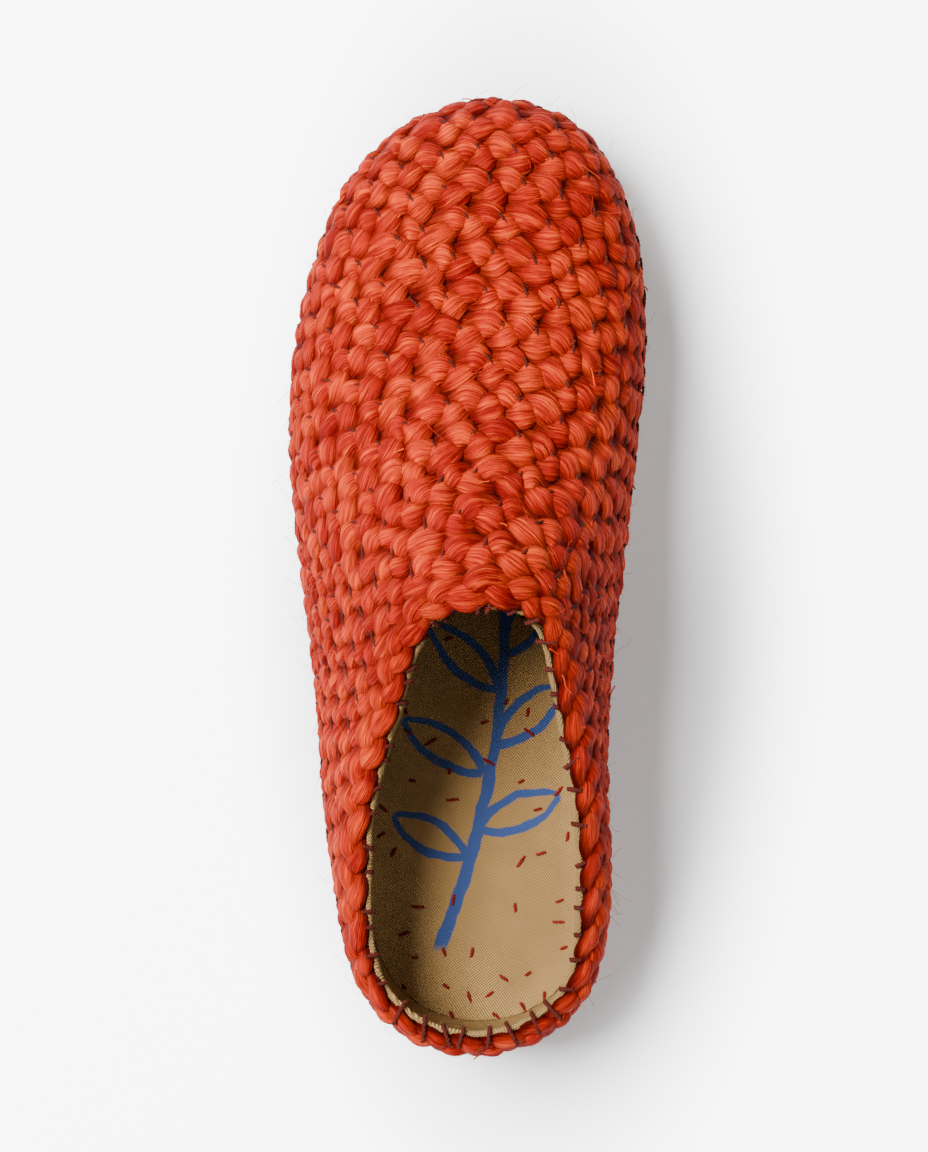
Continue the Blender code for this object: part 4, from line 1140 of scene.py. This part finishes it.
def insole():
    """The padded insole with its cupped edge."""
    rim = wall_loop(INSOLE + CUP)
    top, low = across(rim), across(wall_loop(PAD_FOOT))
    near = np.min(np.linalg.norm(top[:, :, None] - rim[None, None, :, :2], axis=3), axis=2)
    cup = CUP * np.clip(1 - near / CUP_REACH, 0, 1) ** 2
    base = OUTSOLE + MIDSOLE + GAP
    high = base + INSOLE + cup + lift(top[:, :, 1] + HEEL_TO_ORIGIN)
    deep = base + PAD_BELOW + lift(low[:, :, 1] + HEEL_TO_ORIGIN)
    made = bmesh.new()
    upper, under = ([[made.verts.new((*place, z)) for place, z in zip(*pair)] for pair in zip(grid, height)]
                    for grid, height in ((top, high), (low, deep)))
    for side in (upper, under):
        for i in range(INSOLE_ROWS):
            for j in range(INSOLE_COLUMNS):
                made.faces.new((side[i][j], side[i][j + 1], side[i + 1][j + 1], side[i + 1][j]))
    for i in range(INSOLE_ROWS):
        for j in (0, INSOLE_COLUMNS):
            made.faces.new((upper[i][j], upper[i + 1][j], under[i + 1][j], under[i][j]))
    for i in (0, INSOLE_ROWS):
        for j in range(INSOLE_COLUMNS):
            made.faces.new((upper[i][j], upper[i][j + 1], under[i][j + 1], under[i][j]))
    bmesh.ops.remove_doubles(made, verts=made.verts, dist=1e-6)
    bmesh.ops.recalc_face_normals(made, faces=made.faces)
    return placed("canvas_insole", made, PAINTED), top, high


pad, pad_places, pad_heights = insole()

# %% [markdown]
# ## Thread
# The rows are sewn together with a dark two-ply thread, one stitch over every crossing of the plait.
# The same thread whips the lining to the collar, and short red stitches quilt the insole. A stitch is
# always a short bow of two plies laid round each other, so one tree makes them all. It needs points
# that say where each stitch lies, which way it runs and how long it is.

# %% The rule of a stitch
STITCH_STEPS, THREAD_SIDES = 10, 5
PLY = 0.56


def turned(nodes):
    """The rotation that lays X along a point's way and turns Z outward."""
    first = nodes.add("FunctionNodeAlignRotationToVector", None, 1.0, nodes.named("way", "FLOAT_VECTOR"),
                      axis="X", pivot_axis="AUTO")
    return nodes.add("FunctionNodeAlignRotationToVector", first, 1.0, nodes.named("out", "FLOAT_VECTOR"),
                     axis="Z", pivot_axis="X")


def planted(nodes, points, item, scale):
    """A copy of an item on every point, turned to the point's way."""
    made = nodes.tree.nodes.new("GeometryNodeInstanceOnPoints")
    turn = turned(nodes)
    for socket, value in (("Points", points), ("Instance", item), ("Rotation", turn), ("Scale", scale)):
        nodes.fill(made.inputs[socket], value)
    return made.outputs[0]


def tube(nodes, line, sides, *thickness):
    """A line given a round or flat body with closed ends."""
    profile = nodes.add("GeometryNodeTransform", nodes.add("GeometryNodeCurvePrimitiveCircle", sides))
    nodes.fill(profile.node.inputs["Scale"], nodes.add("ShaderNodeCombineXYZ", *thickness))
    made = nodes.tree.nodes.new("GeometryNodeCurveToMesh")
    for socket, value in (("Curve", line), ("Profile Curve", profile), ("Fill Caps", True)):
        nodes.fill(made.inputs[socket], value)
    return made.outputs[0]


def stitch_rule(name, finish_of):
    """The tree that lays a two-ply stitch on every point."""
    nodes = Builder(name, {"Length": 0.0084, "Thread": 0.00054, "Bow": 0.0013, "Turns": 3.5})
    given = nodes.given
    line = nodes.add("GeometryNodeCurvePrimitiveLine")
    line = nodes.add("GeometryNodeResampleCurve", line, None, STITCH_STEPS)
    share = nodes.add("GeometryNodeSplineParameter")
    joined = nodes.tree.nodes.new("GeometryNodeJoinGeometry")
    for ply in range(2):
        turn = nodes.plus(nodes.times(share, given["Turns"], 2 * math.pi), ply * math.pi)
        arch = nodes.times(nodes.math("SINE", nodes.times(share, math.pi)), given["Bow"])
        half = nodes.times(given["Thread"], 0.5)
        spot = nodes.add("ShaderNodeCombineXYZ",
                         nodes.times(nodes.plus(share, -0.5), given["Length"]),
                         nodes.times(nodes.math("COSINE", turn), half),
                         nodes.plus(nodes.times(nodes.math("SINE", turn), half), arch))
        bowed = nodes.add("GeometryNodeSetPosition", line, None, spot)
        size = nodes.times(given["Thread"], PLY)
        nodes.fill(joined.inputs[0], tube(nodes, bowed, THREAD_SIDES, size, size, size))
    spot = strayed(nodes, nodes.add("GeometryNodeInputPosition"), nodes.named("stray"))
    points = nodes.add("GeometryNodeSetPosition", nodes.geometry, None, spot)
    scale = nodes.add("ShaderNodeCombineXYZ", nodes.named("long"), 1.0, 1.0)
    nodes.geometry = planted(nodes, points, joined.outputs[0], scale)
    nodes.finish(finish_of)
    return nodes


def point_mesh(name, places, ways, outs, longs, stray):
    """Bare points that carry what the rules of thread and fibre ask for."""
    mesh = bpy.data.meshes.new(name)
    mesh.from_pydata(np.asarray(places).tolist(), [], [])
    carried(mesh, {"way": ways, "out": outs, "long": longs, "stray": np.full(len(longs), stray)})
    return mesh


STITCH = stitch_rule("stitch", THREAD)
QUILTING = stitch_rule("quilting", RED_THREAD)

# %% Stitches over the crossings
FIRST_APEX = {1: math.pi / 2, -1: math.pi / 6}
APEX_PITCH = 2 * math.pi / 3
STITCH_LOWER = 0.0003
LEAST_ROOM = 0.6
SLANT, SLANT_SPREAD, DOWN = 0.5, 0.14, 0.87
BELOW_MIDDLE, BELOW_SPREAD = 0.1, 0.08
LONG_SPREAD = 0.13


def unit(vectors):
    """Vectors made one long."""
    return vectors / np.linalg.norm(vectors, axis=-1)[..., None]


def crossings(rows, seed):
    """Points at the tips of the chevrons, with the stitch running across the tip."""
    random = np.random.default_rng(seed)
    kept = []
    for row in rows:
        run = np.maximum.accumulate(row.way * row.base)
        shares = np.interp(np.arange(FIRST_APEX[row.way], run[-1], APEX_PITCH), run, row.share)
        centre, side, out, along = row.at(shares)
        room = np.linalg.norm(side, axis=1) > LEAST_ROOM * ROW_HALF
        slant = random.normal(SLANT, SLANT_SPREAD, len(shares))[:, None]
        way = unit(along * row.way * slant - unit(side) * DOWN)
        below = random.normal(BELOW_MIDDLE, BELOW_SPREAD, len(shares))[:, None]
        place = centre + side * below - unit(out) * STITCH_LOWER
        long = random.normal(1.0, LONG_SPREAD, len(shares))
        kept.append((place[room], way[room], unit(out)[room], long[room]))
    return [np.concatenate(part) for part in zip(*kept)]


def sew(rule, name, points, stray=0.0, **sizes):
    """A piece made of stitches or fibres, laid by their rule on points."""
    item = rule.apply(name, point_mesh(name, *points, stray), sizes)
    item.data.shade_smooth()
    return item


stitches = [sew(STITCH, "plait_stitches", crossings(ROWS[1:], 7), 1.0)]

# %% Stitches at the collar and on the insole
UP = (0.0, 0.0, 1.0)
HEEL_WHIPS, WHIP_PITCH, HOOK_PITCH = 8, 0.0078, 0.0085
WHIP_STRAY, HOOK_STRAY = 0.0009, 0.0022
WHIP_LONG, HOOK_LONG = (1.0, 0.08), (0.5, 0.16)
WHIP_INSIDE, WHIP_OUTSIDE = (0.16, -0.0066), (0.30, 0.0012)
WHIP_DEPTH, WHIP_LOWER, WHIP_LEAN, HOOK_SHIFT = 0.0032, 0.0003, 0.38, 0.002
DASHES, DASH_ROOM, DASH_MARGIN, DASH_SPREAD = 120, 0.0056, 4, 0.22


def whips():
    """Long whip stitches over the lining round the heel and short hooks along the sides."""
    random = np.random.default_rng(31)
    rim = ROWS[0]
    half = HEEL_WHIPS / 2 * WHIP_PITCH
    heel = (np.arange(HEEL_WHIPS) + 0.5) * WHIP_PITCH - half
    sides = np.arange(half + HOOK_PITCH, rim.length - half, HOOK_PITCH)
    sides += random.normal(0, HOOK_STRAY, len(sides))
    at = np.concatenate([heel + random.normal(0, WHIP_STRAY, len(heel)), sides])
    shares = at % rim.length / rim.length
    u = np.interp(shares, rim.share, rim.u)
    long = np.concatenate([random.normal(*WHIP_LONG, len(heel)), random.normal(*HOOK_LONG, len(sides))])
    inside, outside = (last.point(u, 0 * u + row, height) for row, height in (WHIP_INSIDE, WHIP_OUTSIDE))
    lean = unit(rim.at(shares)[3]) * random.normal(0, WHIP_LEAN, len(u))[:, None]
    way = unit(unit(outside - inside) + lean)
    middle = last.point(u, 0 * u, -WHIP_DEPTH)
    middle[:, 2] -= WHIP_LOWER
    return middle + way * ((long - 1) * HOOK_SHIFT)[:, None], way, np.tile(UP, (len(u), 1)), long


def dashes():
    """Short stitches scattered over the insole, none close to another."""
    random = np.random.default_rng(44)
    kept = []
    while len(kept) < DASHES:
        i = random.integers(DASH_MARGIN, INSOLE_ROWS - DASH_MARGIN)
        j = random.integers(DASH_MARGIN, INSOLE_COLUMNS - DASH_MARGIN)
        place = np.array([*pad_places[i, j], pad_heights[i, j]])
        if all(np.linalg.norm(place - other) > DASH_ROOM for other in kept):
            kept.append(place)
    turn = random.uniform(0, math.pi, DASHES)
    way = np.stack([np.cos(turn), np.sin(turn), 0 * turn], axis=1)
    return np.array(kept), way, np.tile(UP, (DASHES, 1)), random.normal(1.0, DASH_SPREAD, DASHES)


stitches.append(sew(STITCH, "whip_stitches", whips(), Length=0.0070, Thread=0.0008, Bow=0.0008,
                    Turns=3.0))
stitches.append(sew(QUILTING, "quilting_stitches", dashes(), Length=0.0026, Thread=0.0005, Bow=0.0003,
                    Turns=1.5))

# %% [markdown]
# ## Loose fibres
# Raffia frays. A few hundred hairs stand off the plaits and catch the light along the outline, and
# some flat strips lie loosely along the strands. A particle system could grow them, but its hairs would
# be lost on export. So a tree grows each one as a thin tube from a point scattered over the rows.

# %% The rule of a loose fibre
HAIR_STEPS, HAIR_SIDES = 8, 4
CURL_SCALE = 90.0
FAN, LEAN_LOW, LEAN_HIGH, SIDE_REACH = 0.7, 0.3, 1.5, 0.8


def hair_rule():
    """The tree that grows a bent hair on every point."""
    nodes = Builder("hair", {"Thin": 0.00005, "Curl": 0.006, "Flat": 1.0})
    given = nodes.given
    line = nodes.add("GeometryNodeCurvePrimitiveLine", None, (1.0, 0, 0))
    line = nodes.add("GeometryNodeResampleCurve", line, None, HAIR_STEPS)
    long = nodes.named("long")
    scale = nodes.add("ShaderNodeCombineXYZ", long, long, long)
    real = nodes.add("GeometryNodeRealizeInstances", planted(nodes, nodes.geometry, line, scale))
    place = nodes.add("GeometryNodeInputPosition")
    share = nodes.add("GeometryNodeSplineParameter")
    curl = wander(nodes, place, CURL_SCALE, nodes.times(share, given["Curl"], 2.0))
    bent = nodes.add("GeometryNodeSetPosition", real, None, nodes.vector("ADD", place, curl))
    wide = nodes.times(given["Thin"], given["Flat"])
    nodes.geometry = tube(nodes, bent, HAIR_SIDES, wide, given["Thin"], given["Thin"])
    nodes.finish(HAIR)
    return nodes


def scattered(count, seed, height, rise, low, high):
    """Points over the rows with hairs that lean outward by a chosen rise."""
    random = np.random.default_rng(seed)
    kept = []
    for index in random.integers(0, len(ROWS), count):
        row = ROWS[index]
        centre, side, out, along = (part[0] for part in row.at(random.random(1)))
        out, along = unit(out), unit(along)
        spread = unit(side) * random.normal(0, FAN)
        way = unit(along * random.choice((-1, 1)) + spread + out * rise * random.uniform(LEAN_LOW, LEAN_HIGH))
        place = centre + side * random.uniform(-SIDE_REACH, SIDE_REACH) + out * height
        kept.append((place, way, out, random.uniform(low, high)))
    return [np.array(part) for part in zip(*kept)]


HAIRS = hair_rule()
loose = [
    sew(HAIRS, "loose_hairs", scattered(380, 51, 0.0002, 0.7, 0.003, 0.009)),
    sew(HAIRS, "loose_strips", scattered(70, 52, 0.0006, 0.05, 0.003, 0.008), Thin=0.00009, Flat=2.4,
        Curl=0.005),
]

# %% [markdown]
# ## Pieces that belong together
# Nothing on a clog moves by itself, so every piece rides on its root. The plain solids of the upper
# and the insole are hidden, since the plaits and the padded insole take their place.

# %% Pieces that ride on the shoe
for piece in (*plaits, backing_painted_shade, lining, pad, *stitches, *loose):
    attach(piece, "root")
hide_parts("upper")
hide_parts("insole")
print("pieces:", len(plaits) + len(stitches) + len(loose) + 3)

# %% [markdown]
# ## Floor, light and camera
# The shoe stands on a pale seamless floor. A wide soft key light comes from its left and a faint fill
# from its right. A floor lit only by those would look grey, and stronger lights would bleach the dye.
# So the floor and the backdrop glow for the camera, and little of that falls on the shoe. The floor
# glows less on the right of the shoe, which paints a soft shadow there. The camera looks down almost
# straight, from a little right of the shoe.

# %% Floor
FLOOR_REACH, FLOOR_BELOW = 3.0, 0.0002
# Glow of the floor, glow inside its painted shadow, and the glow that reaches the shoe; then the ellipse of
# that painted shadow.
FLOOR_GLOW, FLOOR_SHADE, FLOOR_SPILL = 5.0, 0.1, 0.2
SHADE_MIDDLE, SHADE_REACH, SHADE_FADE = (0.014, 0.092, 0.0), (0.064, 0.148, 1.0), (0.84, 1.42)


def seamless():
    """A pale floor that glows for the camera, and less on the right of the shoe, where this paints a soft
    shadow.
    """
    made, nodes = finish("floor", 0.9, Base_Color=(0.93, 0.93, 0.94, 1), Emission_Color=(1, 1, 1, 1))
    seen = nodes.add("ShaderNodeLightPath")
    # Painted shadow: the glow drops inside an ellipse on the right of the shoe and comes back towards its
    # edge.
    offset = nodes.vector("SUBTRACT", nodes.add("ShaderNodeTexCoord", output=3), SHADE_MIDDLE)
    away = nodes.vector("LENGTH", nodes.vector("DIVIDE", offset, SHADE_REACH), output=0)
    share = nodes.add("ShaderNodeMapRange", away, *SHADE_FADE, 0.0, 1.0, interpolation_type="SMOOTHSTEP")
    glow = nodes.between(share, 0, 1, FLOOR_SHADE, FLOOR_GLOW)
    nodes.fill(nodes.shader.inputs["Emission Strength"], nodes.between(seen, 0, 1, FLOOR_SPILL, glow))
    return made


FLOOR = seamless()


def floor():
    """A square floor just below the tread."""
    mesh = bpy.data.meshes.new("floor")
    turns = ((-1, -1), (1, -1), (1, 1), (-1, 1))
    corners = [(x * FLOOR_REACH, y * FLOOR_REACH, -FLOOR_BELOW) for x, y in turns]
    mesh.from_pydata(corners, [], [(0, 1, 2, 3)])
    mesh.materials.append(FLOOR)
    shown("floor", mesh)


floor()

# %% Light
SHOE_MIDDLE = (0.0, 0.1, 0.03)
WORLD_LIGHT, WORLD_SEEN = 0.3, 5.4


def lamp(name, place, target, size, power):
    """A wide soft light that faces a point."""
    data = bpy.data.lights.new(name, "AREA")
    data.shape = "DISK"
    data.size = size
    data.energy = power
    way = Vector(target) - Vector(place)
    turn = way.to_track_quat("-Z", "Y").to_matrix().to_4x4()
    shown(name, data).matrix_world = Matrix.Translation(place) @ turn


def studio():
    """Faint light from all round, and a backdrop that looks as white as the floor."""
    world = bpy.data.worlds.new("studio")
    world.use_nodes = True
    nodes = Nodes(world.node_tree)
    backdrop = world.node_tree.nodes["Background"]
    backdrop.inputs["Color"].default_value = (0.97, 0.98, 1.0, 1)
    nodes.fill(backdrop.inputs["Strength"], nodes.between(nodes.add("ShaderNodeLightPath"), 0, 1,
                                                          WORLD_LIGHT, WORLD_SEEN))
    bpy.context.scene.world = world


lamp("key", place=(-0.80, 0.45, 1.45), target=SHOE_MIDDLE, size=1.0, power=112.0)
lamp("fill", place=(0.9, -0.7, 1.3), target=SHOE_MIDDLE, size=1.4, power=7.0)
studio()

# %% Camera
CAMERA_PLACE = Vector((0.0616, 0.100, 0.900))
CAMERA_TARGET = Vector((-0.002, 0.099, 0.030))
SENSOR, LENS, NEAREST = 36.0, 96.0, 0.01


def camera():
    """A long lens above the shoe, with the toe at the top of the picture."""
    data = bpy.data.cameras.new("camera")
    data.sensor_fit = "VERTICAL"
    data.sensor_height = SENSOR
    data.lens = LENS
    data.clip_start = NEAREST
    item = shown("camera", data)
    back = (CAMERA_PLACE - CAMERA_TARGET).normalized()
    right = Vector((0, 1, 0)).cross(back).normalized()
    turn = Matrix((right, back.cross(right), back)).transposed().to_4x4()
    item.matrix_world = Matrix.Translation(CAMERA_PLACE) @ turn
    bpy.context.scene.camera = item


camera()
